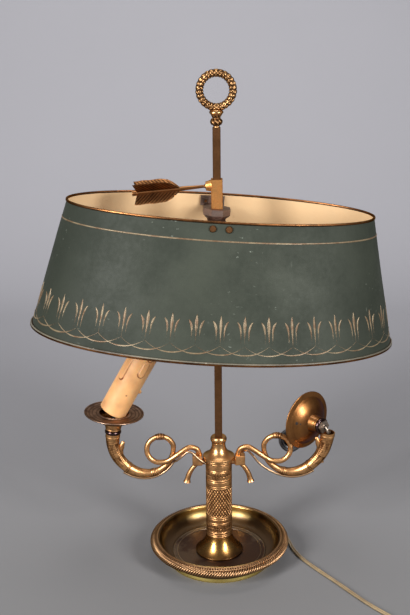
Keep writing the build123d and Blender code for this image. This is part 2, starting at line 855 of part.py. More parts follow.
# ---------------------------------------------------------------- shade and carrier
yaw, roll = radians(shade_yaw), radians(shade_roll)
shade_x = Vector(cos(yaw) * cos(roll), sin(yaw) * cos(roll), -sin(roll))
shade_y = Vector(-sin(yaw), cos(yaw), 0)
shade_z = shade_x.cross(shade_y)
shade_frame = Plane(origin=(0, 0, rim_height), x_dir=shade_x, z_dir=shade_z)
shade_side = Plane(origin=(0, 0, rim_height), x_dir=shade_y, z_dir=shade_x)
flare_length = (bottom_length - top_length) / shade_height
flare_width = (bottom_width - top_width) / shade_height


def oval(drop, inset=0.0):
    """Half length and half width of the shade's outer surface at a depth below the rim."""
    return top_length + flare_length * drop - inset, top_width + flare_width * drop - inset


def wall_distance(x, drop, inset=0.0):
    """Distance from the carrier's centre line to the shade's wall, at x along the shade."""
    half_length, half_width = oval(drop, inset)
    return half_width * sqrt(1 - ((x - shade_shift) / half_length) ** 2)


def at_shade(x, y, z):
    """A point given in the shade's own frame."""
    return shade_frame.origin + shade_x * x + shade_y * y + shade_z * z


wall_slope = atan(flare_width)
screw_planes = []
for end in (-1, 1):
    for place in (-screw_spacing / 2, screw_spacing / 2):
        half_length, half_width = oval(screw_drop)
        turn_out = (place - shade_shift) * half_width / half_length**2
        outward = (shade_x * turn_out + shade_y * end).normalized() * cos(wall_slope) + shade_z * sin(wall_slope)
        seat_point = at_shade(place, end * wall_distance(place, screw_drop), -screw_drop)
        screw_planes.append(Plane(origin=seat_point, x_dir=shade_x, z_dir=outward))

bar_drop = hub_drop + hub_height
tab_edge = tab_width / 2
tab_depth = shade_wall + 0.1


def tab_distance(drop):
    """Outer face of a carrier tab, just inside the shade's wall at the tab's far edge."""
    return wall_distance(-tab_edge, drop, tab_depth)


with BuildPart() as shade_shell:
    for inset, mode in ((0.0, Mode.ADD), (shade_wall, Mode.SUBTRACT)):
        for drop in (top_bead_height, shade_height - bottom_bead_height):
            with BuildSketch(shade_frame.offset(-drop)):
                with Locations((shade_shift, 0)):
                    Ellipse(*oval(drop, inset))
        loft(ruled=True, mode=mode)
    for plane in screw_planes:
        with BuildSketch(plane.offset(2)):
            Circle(screw_radius + slip)
        extrude(amount=-6, mode=Mode.SUBTRACT)
save(shade_shell, "shade_shell")

with BuildPart() as shade_top_bead:
    with BuildSketch(shade_frame.offset(-top_bead_height)):
        with Locations((shade_shift, 0)):
            Ellipse(*oval(top_bead_height, -0.9))
            Ellipse(*oval(top_bead_height, shade_wall + 0.6), mode=Mode.SUBTRACT)
    extrude(amount=top_bead_height)
    fillet(shade_top_bead.edges(), 1.0)
save(shade_top_bead, "shade_top_bead")

with BuildPart() as shade_bottom_bead:
    with BuildSketch(shade_frame.offset(-shade_height)):
        with Locations((shade_shift, 0)):
            Ellipse(*oval(shade_height, -1.5))
            Ellipse(*oval(shade_height, shade_wall + 1.0), mode=Mode.SUBTRACT)
    extrude(amount=bottom_bead_height)
    fillet(shade_bottom_bead.edges(), 1.4)
save(shade_bottom_bead, "shade_bottom_bead")

# the block that rides on the rod, its boss for the key, and the bent carrier under it
key_height = block_top - key_drop
slope = radians(key_slope)
key_axis = Vector(-cos(slope), 0, -sin(slope))
key_foot = Vector(-rod_side / 2 - 0.3, 0, key_height)
key_frame = Plane(origin=key_foot, x_dir=(0, 1, 0), z_dir=key_axis)
boss_end = (block_side / 2 + boss_length - rod_side / 2) / cos(slope)

with BuildPart() as slider_block:
    with BuildSketch(Plane.XY.offset(rim_height - block_tail)):
        Rectangle(block_side, block_side)
    extrude(amount=block_top - rim_height + block_tail)
    chamfer(slider_block.edges().filter_by(Axis.Z), block_edge)
    with BuildSketch(key_frame.offset(0.8)):
        Circle(boss_radius)
    with BuildSketch(key_frame.offset(boss_end)):
        Circle(boss_tip_radius)
    loft()
    split(bisect_by=Plane.XY.offset(block_top), keep=Keep.BOTTOM)
    with BuildSketch(Plane.XY.offset(rim_height - block_tail - margin)):
        Rectangle(rod_side + 2 * run, rod_side + 2 * run)
    extrude(amount=block_top - rim_height + block_tail + 2 * margin, mode=Mode.SUBTRACT)
    with BuildSketch(key_frame.offset(-0.2)):
        Circle(key_screw_radius + run)
    extrude(amount=boss_end + 2, mode=Mode.SUBTRACT)
save(slider_block, "slider_block")

with BuildPart() as carrier_hub:
    with BuildSketch(shade_frame.offset(-bar_drop)):
        RegularPolygon(hub_flats / 2, 8, major_radius=False, rotation=22.5)
    extrude(amount=hub_height)
    underside = carrier_hub.faces().sort_by(Axis(shade_frame.origin, shade_z))[0]
    chamfer(underside.edges(), hub_chamfer)
    with BuildSketch(Plane.XY.offset(rim_height - bar_drop - 2 * margin)):
        Rectangle(block_side + 2 * slip, block_side + 2 * slip)
    extrude(amount=bar_drop + 4 * margin, mode=Mode.SUBTRACT)
save(carrier_hub, "carrier_hub")

with BuildPart() as carrier_bar:
    top, bottom = bar_drop, bar_drop + bar_thickness
    with BuildSketch(shade_side):
        with BuildLine():
            Polyline(
                (-tab_distance(bottom), -bottom),
                (tab_distance(bottom), -bottom),
                (tab_distance(top), -top),
                (-tab_distance(top), -top),
                close=True,
            )
        make_face()
    extrude(amount=bar_width / 2, both=True)
    for end in (-1, 1):
        with BuildSketch(shade_side):
            with BuildLine():
                Polyline(
                    (end * tab_distance(bottom), -bottom),
                    (end * tab_distance(top_bead_height + 0.6), -top_bead_height - 0.6),
                    (end * (tab_distance(top_bead_height + 0.6) - tab_thickness), -top_bead_height - 0.6),
                    (end * (tab_distance(bottom) - tab_thickness), -bottom),
                    close=True,
                )
            make_face()
        extrude(amount=tab_edge, both=True)
    for plane in screw_planes:
        with BuildSketch(plane.offset(2)):
            Circle(screw_radius + slip)
        extrude(amount=-8, mode=Mode.SUBTRACT)
    with BuildSketch(Plane.XY.offset(rim_height - bottom - 2 * margin)):
        Rectangle(block_side + 2 * slip, block_side + 2 * slip)
    extrude(amount=bottom + 4 * margin, mode=Mode.SUBTRACT)
save(carrier_bar, "carrier_bar")

grip = shade_wall + 0.75 + tab_thickness  # wall, gap and tab under a screw head

with BuildPart() as carrier_screws:
    for plane in screw_planes:
        with BuildSketch(plane.offset(slip)):
            Circle(screw_head_radius)
        extrude(amount=screw_head_height * 0.5)
        with BuildSketch(plane.offset(slip + screw_head_height * 0.5)):
            Circle(screw_head_radius)
        extrude(amount=screw_head_height * 0.5, taper=35)
        with BuildSketch(plane.offset(slip)):
            Circle(screw_radius)
        extrude(amount=-grip - nut_thickness - 1.2)
save(carrier_screws, "carrier_screws")

with BuildPart() as carrier_nuts:
    for plane in screw_planes:
        with BuildSketch(plane.offset(-grip)):
            Rectangle(nut_side, nut_side)
            Circle(screw_radius + slip, mode=Mode.SUBTRACT)
        extrude(amount=-nut_thickness)
save(carrier_nuts, "carrier_nuts")

with BuildPart() as arrow_key:
    with BuildSketch(key_frame):
        Circle(key_screw_radius)
    extrude(amount=boss_end + 0.6)
    with BuildSketch(key_frame.offset(boss_end + 0.6)):
        Circle(key_shaft_radius - 0.7)
    with BuildSketch(key_frame.offset(boss_end + key_taper)):
        Circle(key_shaft_radius)
    loft()
    with BuildSketch(key_frame.offset(boss_end + key_taper)):
        Circle(key_shaft_radius)
    extrude(amount=key_length - boss_end - key_taper)
    with BuildSketch(key_frame.offset(key_length - key_nock)):
        Circle(key_shaft_radius + 0.5)
    extrude(amount=key_nock)
    for quarter in range(4):
        angle = radians(45 + 90 * quarter)
        spread = key_frame.x_dir * cos(angle) + key_frame.y_dir * sin(angle)
        vane_plane = Plane(origin=key_foot, x_dir=key_axis, z_dir=key_axis.cross(spread))
        with BuildSketch(vane_plane):
            with BuildLine():
                front = boss_end + key_taper + 3.0
                back = key_length - vane_inset
                Spline(
                    (front, key_shaft_radius - 0.4),
                    (front + 8.0, vane_reach * 0.62),
                    (front + 17.0, vane_reach * 0.93),
                    (back + 3.0, vane_reach),
                )
                Polyline((back + 3.0, vane_reach), (back, 0.5), (front, 0.5), (front, key_shaft_radius - 0.4))
            make_face()
        extrude(amount=vane_thickness / 2, both=True)
save(arrow_key, "arrow_key")

# ---------------------------------------------------------------- cord, coil and plug
route = [(x, y, cord_rest) for x, y in cord_route]
print("cord bend radii", [round(radius, 1) for radius in bend_radii(route)])
cord = pipe(route, cord_radius)
save(cord, "cord")
with BuildLine() as cord_line:
    FilletPolyline(*route, radius=bend_radii(route))
free_length = sum(edge.length for edge in cord_line.edges())
section_area = pi * cord_radius**2
print("cord volume", round(cord.part.volume, 1), "section times length", round(section_area * free_length, 1))

pitch = 2 * cord_radius
coil_half = coil_rows * pitch / 2
last, before = Vector(*route[-1]), Vector(*route[-2])
heading = (last - before).normalized()
inward = Vector(heading.Y, -heading.X, 0)
coil_centre = last + inward * (coil_radius + coil_half + cord_radius + 0.2)
coil_centre.Z = 0.1

with BuildPart() as cord_coil:
    with BuildSketch(Plane(origin=coil_centre)):
        Circle(coil_radius + coil_half)
        Circle(coil_radius - coil_half, mode=Mode.SUBTRACT)
    extrude(amount=2 * coil_half)
    fillet(cord_coil.edges(), cord_radius - 0.2)
save(cord_coil, "cord_coil")

# the tail leaves the coil a quarter turn on, at half height, and runs straight into the plug
tail_start = coil_centre + heading * (coil_radius + coil_half + cord_radius + 0.2)
tail_start.Z = coil_centre.Z + coil_half
tail_end = tail_start + inward * tail_length
with BuildPart() as cord_tail:
    with BuildSketch(Plane(origin=tail_start, z_dir=inward)):
        Circle(cord_radius)
    extrude(amount=tail_length)
save(cord_tail, "cord_tail")

plug_frame = Plane(origin=tail_end, x_dir=heading, z_dir=inward)
with BuildPart() as plug_body:
    with BuildSketch(plug_frame):
        RectangleRounded(*plug_cuff, 3.0)
    with BuildSketch(plug_frame.offset(plug_length * 0.55)):
        RectangleRounded(plug_width, plug_thickness, 5.0)
    with BuildSketch(plug_frame.offset(plug_length)):
        RectangleRounded(plug_width, plug_thickness, 5.0)
    loft(ruled=True)
save(plug_body, "plug_body")

with BuildPart() as plug_pins:
    with BuildSketch(plug_frame.offset(plug_length)):
        with Locations((-pin_spacing / 2, 0), (pin_spacing / 2, 0)):
            Circle(pin_radius)
    extrude(amount=pin_length)
save(plug_pins, "plug_pins")

coil_length = 2 * pi * coil_radius * coil_rows**2
print("cord length", round(free_length + coil_length + tail_length))
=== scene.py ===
"""Looks of a two-light bouillotte lamp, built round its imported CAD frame.

The lamp is a dished brass foot, a chased column, two hunting-horn arms with candle fittings, a
square rod with a lifting ring, and an oval painted shade that slides on the rod. Shapes are worked
out in millimetres as numpy surfaces and put into meshes in metres, each in its own place.
"""

import logging
from dataclasses import dataclass
from enum import Enum
from functools import cache
from math import atan, cos, pi, radians, sin
from typing import Optional, Sequence, Union

import bmesh
import bpy
import numpy as np
from mathutils import Matrix, Vector


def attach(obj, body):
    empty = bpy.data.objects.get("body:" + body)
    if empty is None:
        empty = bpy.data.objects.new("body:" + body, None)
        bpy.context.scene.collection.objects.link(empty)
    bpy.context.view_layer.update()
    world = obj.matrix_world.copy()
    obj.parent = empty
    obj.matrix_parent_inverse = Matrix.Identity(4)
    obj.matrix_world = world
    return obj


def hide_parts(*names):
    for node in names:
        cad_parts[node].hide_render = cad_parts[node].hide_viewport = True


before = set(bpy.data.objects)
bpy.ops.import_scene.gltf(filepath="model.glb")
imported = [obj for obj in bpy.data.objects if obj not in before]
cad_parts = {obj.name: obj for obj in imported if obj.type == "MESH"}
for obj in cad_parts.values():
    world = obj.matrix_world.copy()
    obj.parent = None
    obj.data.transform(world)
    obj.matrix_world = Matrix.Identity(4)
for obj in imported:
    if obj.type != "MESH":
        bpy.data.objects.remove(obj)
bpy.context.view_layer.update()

MM = 0.001  # metres in a millimetre
GAP = 0.02  # millimetres left between faces that lie together
ROD_HOLE = 3.2  # radius, in millimetres, of the holes for the tie rod
MERGE = 4e-6  # metres within which two points are one
UP = np.array((0.0, 0.0, 1.0))
BACK = np.array((0.0, 1.0, 0.0))
Array = np.ndarray
Triple = tuple[float, float, float]
Colour = Triple

logging.basicConfig(level=logging.INFO, format="%(message)s")
log = logging.getLogger("bouillotte_lamp")


# ---------- lines and surfaces
@dataclass
class Patch:
    """A grid of points in millimetres and how its edges join up.

    relief is 1 on high, rubbed places and 0 in hollows, and on some pieces it also carries painted light and
    shade; finish is the material of each row of faces.
    """

    points: Array
    wrap_rows: bool = False
    wrap_columns: bool = True
    relief: Optional[Array] = None
    finish: Union[int, Array] = 0


@dataclass(frozen=True)
class Place:
    """Where a turned or drawn shape stands: an origin and three axes, in millimetres."""

    origin: Array
    x: Array
    y: Array
    z: Array

    @classmethod
    def of(cls, origin: Sequence[float], z: Sequence[float], x: Sequence[float]) -> "Place":
        """A place from its origin, its upward axis and its first axis."""
        z_axis = unit(np.array(z, float))
        x_axis = unit(np.array(x, float))
        return cls(np.array(origin, float), x_axis, np.cross(z_axis, x_axis), z_axis)

    def at(self, points: Array) -> Array:
        """Local points carried to where the place is."""
        return self.origin + points @ np.stack([self.x, self.y, self.z])

    def up(self, distance: float) -> Array:
        """The point at a distance along the upward axis."""
        return self.origin + self.z * distance


def unit(vectors: Array) -> Array:
    """Vectors divided by their lengths."""
    return vectors / np.maximum(np.linalg.norm(vectors, axis=-1, keepdims=True), 1e-12)


def lengths(points: Array) -> Array:
    """Distance along a line of points at each of them, from 0 at the first."""
    steps = np.linalg.norm(np.diff(points, axis=0), axis=1)
    return np.concatenate([[0.0], np.cumsum(steps)])


def resample(points: Array, count: int) -> Array:
    """The same line with count points at even distances along it."""
    run = lengths(points)
    even = np.linspace(0.0, run[-1], count)
    return np.stack([np.interp(even, run, points[:, axis]) for axis in range(points.shape[1])], 1)


def rounded(corners: Array, share: float = 0.45, reach: float = 1e9, steps: int = 10) -> Array:
    """Straight runs whose corners are cut by parabolas.

    Each corner C gives way to (1-t)^2 A + 2t(1-t) C + t^2 B, where A and B lie on its two runs at
    share of the shorter run from it, or at reach if that is nearer.

    Args:
        corners: the corner points, two or three numbers each.
        share: largest part of a run that one corner may take.
        reach: largest distance that one corner may take, in millimetres.
        steps: points per corner.

    Returns:
        The points of the softened line, its two ends included.
    """
    corners = np.asarray(corners, float)
    run = np.diff(corners, axis=0)
    size = np.linalg.norm(run, axis=1)
    ahead = run / np.maximum(size, 1e-9)[:, None]
    cut = np.minimum(share * np.minimum(size[:-1], size[1:]), reach)[:, None]
    start = corners[1:-1] - ahead[:-1] * cut
    end = corners[1:-1] + ahead[1:] * cut
    t = np.linspace(0.0, 1.0, steps)[None, :, None]
    bends = (1 - t) ** 2 * start[:, None] + 2 * t * (1 - t) * corners[1:-1, None] + t**2 * end[:, None]
    return np.vstack([corners[:1], bends.reshape(-1, corners.shape[1]), corners[-1:]])


def arc(first: Sequence[float], middle: Sequence[float], last: Sequence[float], steps: int = 16) -> Array:
    """The circular arc through three points of a profile.

    The centre is where the two chords' upright bisectors meet, and the angle runs evenly from the
    first point to the last by way of the middle one.

    Args:
        first: where it starts, as (radius, height).
        middle: a point that it passes.
        last: where it ends.
        steps: how many points it has.

    Returns:
        The arc's points.
    """
    a, b, c = (np.array(point, float) for point in (first, middle, last))
    left, right = b - a, c - a
    twice = 2 * (left[0] * right[1] - left[1] * right[0])
    centre = a + np.array(
        (right[1] * left @ left - left[1] * right @ right, left[0] * right @ right - right[0] * left @ left)
    ) / twice
    angles = [np.arctan2(*(point - centre)[::-1]) for point in (a, b, c)]
    turn = 2 * pi if twice > 0 else -2 * pi
    sweep = (angles[2] - angles[0]) % turn
    angle = angles[0] + np.linspace(0.0, 1.0, steps) * sweep
    return centre + np.linalg.norm(a - centre) * circle(angle)


def profile(*parts: Sequence) -> Array:
    """Points and arcs of a turned profile joined into one array of (radius, height)."""
    return np.vstack([np.atleast_2d(np.asarray(part, float)) for part in parts])


def outward(line: Array, closed: bool) -> Array:
    """Unit normals on the right-hand side of a profile walked upwards, at each point."""
    if closed:
        along = np.roll(line, -1, 0) - np.roll(line, 1, 0)
    else:
        along = np.gradient(line, axis=0)
    return unit(np.stack([along[:, 1], -along[:, 0]], 1))


def held(values: Array) -> Array:
    """Values held between 0 and 1."""
    return np.clip(values, 0, 1)


def past(value: Array, start: Array, span: Array) -> Array:
    """How far a value lies past a start, as a share of a span, held between 0 and 1."""
    return held((value - start) / span)


def hump(away: Array, width: Array) -> Array:
    """A bell-shaped hump: e to the power of minus the square of away over width."""
    return np.exp(-((away / width) ** 2))


def blend(first: Array, second: Array, share: Array) -> Array:
    """A share of the way from one value to another."""
    return first * (1 - share) + second * share


def turned(radius: Array, angle: Array, height: Array) -> Array:
    """Points at a radius, angle and height about an upright axis: (r cos a, r sin a, h)."""
    return np.stack(np.broadcast_arrays(radius * np.cos(angle), radius * np.sin(angle), height), -1)


def ring_angles(count: int) -> Array:
    """Angles of count points evenly round a turn."""
    return np.arange(count) * 2 * pi / count


def circle(angle: Array) -> Array:
    """Points of the unit circle: (cos a, sin a)."""
    return np.stack([np.cos(angle), np.sin(angle)], 1)


def zigzag(turns: Array) -> Array:
    """A wave of straight runs, 1 at each whole turn and 0 between them."""
    return np.abs((turns % 1.0) - 0.5) * 2


def softened(line: Array, reach: float, steps: int) -> Array:
    """A profile closed into a loop, every corner cut back by at most reach."""
    return rounded(np.vstack([line, line[:2]]), reach=reach, steps=steps)[1:-1]


def lathe(line: Array, steps: int = 96, closed: bool = True, place: Optional[Place] = None,
          offset: Optional[Array] = None, relief: Optional[Array] = None,
          finish: Union[int, Array] = 0) -> Patch:
    """A profile turned about its axis: (r, h) goes to (r cos a, r sin a, h) for a from 0 to 360.

    Args:
        line: profile of (radius, height) in millimetres.
        steps: points round the axis.
        closed: whether the profile is a closed loop, as of a ring or a cup with a wall.
        place: where the axis stands; the world's own axis if left out.
        offset: rows by steps, how far each point moves along the profile's normal.
        relief: rows by steps, as a patch has it.
        finish: material of the faces, as a patch has it.

    Returns:
        The turned patch.
    """
    moved = np.repeat(line[:, None, :], steps, 1)
    if offset is not None:
        moved = moved + outward(line, closed)[:, None, :] * offset[..., None]
    points = turned(moved[..., 0], ring_angles(steps), moved[..., 1])
    if place is not None:
        points = place.at(points)
    return Patch(points, wrap_rows=closed, relief=relief, finish=finish)


def pipe(path: Array, stations: Array, radii: Array, reference: Array = BACK, steps: int = 28,
         offset: Optional[Array] = None, relief: Optional[Array] = None,
         section: Optional[Array] = None) -> Patch:
    """Rings carried along a path: P(s) + r (cos a S + sin a U), S and U square to the path.

    Args:
        path: points of the centre line.
        stations: each ring's distance along the path; it runs back for the inside of a mouth.
        radii: radius of each ring; 0 closes an end.
        reference: a direction that no part of the path runs along.
        steps: points in a ring.
        offset: rings by steps, added to the radius.
        relief: rings by steps, as a patch has it.
        section: an outline of unit size, steps by 2, in place of the circle.

    Returns:
        The tube.
    """
    run = lengths(path)
    ahead = unit(np.gradient(path, run, axis=0))
    side = unit(np.cross(ahead, reference))
    above = np.cross(side, ahead)
    centre, across, over = (
        np.stack([np.interp(stations, run, field[:, axis]) for axis in range(3)], 1)
        for field in (path, side, above)
    )
    if section is None:
        section = circle(ring_angles(steps))
    size = np.asarray(radii, float)[:, None] + (0.0 if offset is None else offset)
    size = size[..., None] if size.shape[1] > 1 else np.repeat(size, len(section), 1)[..., None]
    flat = across[:, None] * section[None, :, :1] + over[:, None] * section[None, :, 1:]
    return Patch(centre[:, None] + size * flat, relief=relief)


def smooth_tube(corners: Sequence[Sequence[float]], radius: float, rings: int, steps: int = 22) -> Patch:
    """A round tube with closed ends along softened straight runs.

    Args:
        corners: where the runs meet.
        radius: the tube's radius.
        rings: how many rings it has between its ends.
        steps: points in a ring.

    Returns:
        The tube.
    """
    path = resample(rounded(np.array(corners, float), steps=14), rings)
    total = lengths(path)[-1]
    stations = np.concatenate([[0.0, 0.0], np.linspace(0.15, total - 0.15, rings), [total, total]])
    radii = np.concatenate([[0.0, radius - 0.15], np.full(rings, radius), [radius - 0.15, 0.0]])
    return pipe(path, stations, radii, steps=steps)


def linked(name: str, data: bpy.types.ID) -> bpy.types.Object:
    """A new object that holds some data, linked to the scene."""
    thing = bpy.data.objects.new(name, data)
    bpy.context.scene.collection.objects.link(thing)
    return thing


def make_mesh(name: str, patches: Sequence[Patch], sharp: float = 40.0) -> bpy.types.Object:
    """Patches put into one mesh in metres, doubles merged and faces turned outwards.

    Args:
        name: object's name.
        patches: closed surfaces, in millimetres.
        sharp: angle in degrees above which an edge stays sharp.

    Returns:
        The new object, linked to the scene, at the origin.
    """
    points, faces, relief, finish, first = [], [], [], [], 0
    for patch in patches:
        rows, columns = patch.points.shape[:2]
        index = np.arange(rows * columns).reshape(rows, columns) + first
        first += rows * columns
        if patch.wrap_rows:
            index = np.vstack([index, index[:1]])
        if patch.wrap_columns:
            index = np.hstack([index, index[:, :1]])
        quads = np.stack([index[:-1, :-1], index[:-1, 1:], index[1:, 1:], index[1:, :-1]], -1)
        kinds = np.broadcast_to(np.reshape(patch.finish, (-1, 1)), quads.shape[:2])
        points.append(patch.points.reshape(-1, 3))
        faces.append(quads.reshape(-1, 4))
        finish.append(kinds.reshape(-1))
        high = np.ones((rows, columns)) if patch.relief is None else np.broadcast_to(patch.relief, (rows, columns))
        relief.append(high.reshape(-1))
    mesh = bpy.data.meshes.new(name)
    mesh.from_pydata(np.vstack(points) * MM, [], np.vstack(faces))
    mesh.polygons.foreach_set("material_index", np.concatenate(finish).astype(np.int32))
    layer = mesh.attributes.new("relief", "FLOAT", "POINT")
    layer.data.foreach_set("value", np.concatenate(relief).astype(np.float32))
    shell = bmesh.new()
    shell.from_mesh(mesh)
    bmesh.ops.remove_doubles(shell, verts=shell.verts, dist=MERGE)
    bmesh.ops.recalc_face_normals(shell, faces=shell.faces)
    shell.to_mesh(mesh)
    shell.free()
    mesh.polygons.foreach_set("use_smooth", np.ones(len(mesh.polygons), bool))
    mesh.set_sharp_from_angle(angle=radians(sharp))
    return linked(name, mesh)


def waves(columns: Array, count: float) -> Array:
    """A round-topped wave from 0 to 1, count times over the unit interval."""
    return 0.5 - 0.5 * np.cos(2 * pi * count * columns)


def ripple(rows: Array, columns: Array, seed: int, octaves: int = 3) -> Array:
    """A slow, seamless unevenness from -1 to 1: a sum of waves of seeded pitch and phase.

    Args:
        rows: share of the way along, 0 to 1.
        columns: share of the way round, 0 to 1.
        seed: number that picks the waves.
        octaves: how many ever finer sets of waves are added.

    Returns:
        The height of the unevenness on the grid.
    """
    chance = np.random.default_rng(seed)
    total = np.zeros(np.broadcast(rows, columns).shape)
    for octave in range(1, octaves + 1):
        turns = chance.integers(1, 3 * octave + 1, 3)
        phase = chance.uniform(0, 2 * pi, 6)
        for k in range(3):
            wave = np.cos(2 * pi * turns[k] * columns + phase[k]) * np.cos(pi * (k + octave) * rows + phase[k + 3])
            total = total + wave / (3 * octave)
    return total


# ---------- materials
class Wire:
    """An output socket that adds, subtracts and multiplies as Math nodes do."""

    def __init__(self, graph: "Graph", socket: bpy.types.NodeSocket) -> None:
        """Keep the socket and the graph that its sums go into."""
        self.graph, self.socket = graph, socket

    def __add__(self, other: "Value") -> "Wire":
        """This value plus another."""
        return self.graph.math("ADD", self, other)

    def __sub__(self, other: "Value") -> "Wire":
        """This value less another."""
        return self.graph.math("SUBTRACT", self, other)

    def __rsub__(self, other: float) -> "Wire":
        """A number less this value."""
        return self.graph.math("SUBTRACT", other, self)

    def __mul__(self, other: "Value") -> "Wire":
        """This value times another."""
        return self.graph.math("MULTIPLY", self, other)

    def held(self) -> "Wire":
        """This sum held between 0 and 1."""
        self.socket.node.use_clamp = True
        return self


Value = Union[Wire, bpy.types.Node, float, tuple]


class Graph:
    """Short hand for building a material's or a group's nodes."""

    def __init__(self, tree: bpy.types.NodeTree) -> None:
        """Keep the tree that nodes are added to."""
        self.tree = tree

    def add(self, kind: str, **settings) -> bpy.types.Node:
        """A node of a kind; settings are properties, or inputs where the name starts with in_."""
        node = self.tree.nodes.new("ShaderNode" + kind)
        for key, value in settings.items():
            if key.startswith("in_"):
                self.feed(node.inputs[key[3:].replace("_", " ")], value)
            else:
                setattr(node, key, value)
        return node

    def out(self, kind: str, output: Union[int, str] = 0, **settings) -> Wire:
        """One output of a new node."""
        return Wire(self, self.add(kind, **settings).outputs[output])

    def feed(self, socket: bpy.types.NodeSocket, value: Value) -> None:
        """Link a wire or a node's first output into an input, or set the input's value."""
        if isinstance(value, (Wire, bpy.types.Node)):
            self.tree.links.new(value.socket if isinstance(value, Wire) else value.outputs[0], socket)
        elif isinstance(value, tuple) and socket.type == "RGBA":
            socket.default_value = (*value, 1.0)
        else:
            socket.default_value = value

    def math(self, operation: str, *values: Value) -> Wire:
        """The output of a Math node."""
        node = self.add("Math", operation=operation)
        for socket, value in zip(node.inputs, values):
            self.feed(socket, value)
        return Wire(self, node.outputs[0])

    def mix(self, share: Value, first: Value, second: Value) -> Wire:
        """The colour output of a Mix node."""
        node = self.add("Mix", data_type="RGBA")
        for index, value in ((0, share), (6, first), (7, second)):
            self.feed(node.inputs[index], value)
        return Wire(self, node.outputs[2])

    def noise(self, where: Wire, scale: Value, detail: float = 3.0, rough: float = 0.55) -> Wire:
        """The value of a Noise texture."""
        return self.out("TexNoise", in_Vector=where, in_Scale=scale, in_Detail=detail, in_Roughness=rough)

    def ramp(self, value: Value, low: float, high: float, to_low: Value = 0.0, to_high: Value = 1.0) -> Wire:
        """A value eased from one range to another and held inside it."""
        return self.out("MapRange", interpolation_type="SMOOTHSTEP", in_Value=value, in_From_Min=low,
                        in_From_Max=high, in_To_Min=to_low, in_To_Max=to_high)

    def stretched(self, where: Wire, size: Triple) -> Wire:
        """A position multiplied along each axis."""
        node = self.add("VectorMath", operation="MULTIPLY")
        self.feed(node.inputs[0], where)
        node.inputs[1].default_value = size
        return Wire(self, node.outputs[0])

    def relief(self) -> Wire:
        """How high the surface stands in its carving, from the mesh; on some pieces it also holds painted light
        and shade.
        """
        return self.out("Attribute", "Fac", attribute_name="relief")

    def group(self, tree: bpy.types.NodeTree, **given: Value) -> list[Wire]:
        """The colour, roughness and height that a group puts out."""
        node = self.add("Group", node_tree=tree, **{"in_" + name: value for name, value in given.items()})
        return [Wire(self, socket) for socket in node.outputs]


class Effect:
    """A node group under way: named inputs, and a colour, a roughness and a height to put out."""

    KINDS = {type(None): "NodeSocketVector", tuple: "NodeSocketColor", float: "NodeSocketFloat"}

    def __init__(self, name: str, **inputs: Optional[Union[Colour, float]]) -> None:
        """Make the sockets; an input's default tells its type, and None is a vector."""
        self.tree = bpy.data.node_groups.new(name, "ShaderNodeTree")
        self.graph = Graph(self.tree)
        for label, default in inputs.items():
            socket = self.tree.interface.new_socket(
                label.replace("_", " "), in_out="INPUT", socket_type=self.KINDS[type(default)])
            if default is not None:
                socket.default_value = (*default, 1.0) if isinstance(default, tuple) else default
        for label, default in (("Colour", ()), ("Roughness", 0.0), ("Height", 0.0)):
            self.tree.interface.new_socket(label, in_out="OUTPUT", socket_type=self.KINDS[type(default)])
        source = self.tree.nodes.new("NodeGroupInput")
        self.given = [Wire(self.graph, socket) for socket in source.outputs if socket.name]

    def close(self, *results: Wire) -> bpy.types.NodeTree:
        """Put out the colour, the roughness and the height."""
        sink = self.tree.nodes.new("NodeGroupOutput")
        for socket, value in zip(sink.inputs, results):
            self.graph.feed(socket, value)
        return self.tree


@cache
def patina() -> bpy.types.NodeTree:
    """Browned metal: blotches of patina, dark hollows where the relief is low, with painted shade where a piece's
    relief carries it, fine scratches and dull specks.
    """
    effect = Effect("patina", Vector=None, Bright=(0.8, 0.5, 0.2), Dark=(0.1, 0.05, 0.02), Blotch_Size=60.0,
                    Patina=0.4, Recess=0.8, Relief=1.0, Smooth=0.2, Dull=0.45)
    graph = effect.graph
    where, bright, dark, blotch_size, amount, recess, relief, smooth, dull = effect.given
    blotch = graph.ramp(graph.noise(where, blotch_size, 4.0, 0.62), 0.38, 0.68)
    fine = graph.noise(where, 900.0, 2.0, 0.5)
    speck = graph.ramp(graph.noise(where, 420.0, 2.0, 0.6), 0.62, 0.72)
    aged = ((blotch + speck * 0.35) * amount + (1.0 - relief) * recess).held()
    colour = graph.mix(aged, bright, dark)
    warm = graph.mix(fine * 0.35, colour, graph.mix(0.5, colour, (0.5, 0.2, 0.06)))
    scratch = graph.ramp(graph.noise(graph.stretched(where, (40.0, 40.0, 2600.0)), 1.0, 2.0, 0.6), 0.58, 0.75)
    rough = graph.ramp((aged * 0.6 + fine * 0.5).held() + scratch * 0.2, 0.0, 1.0, smooth, dull)
    return effect.close(warm, rough, fine * 0.6 - scratch * 0.3)


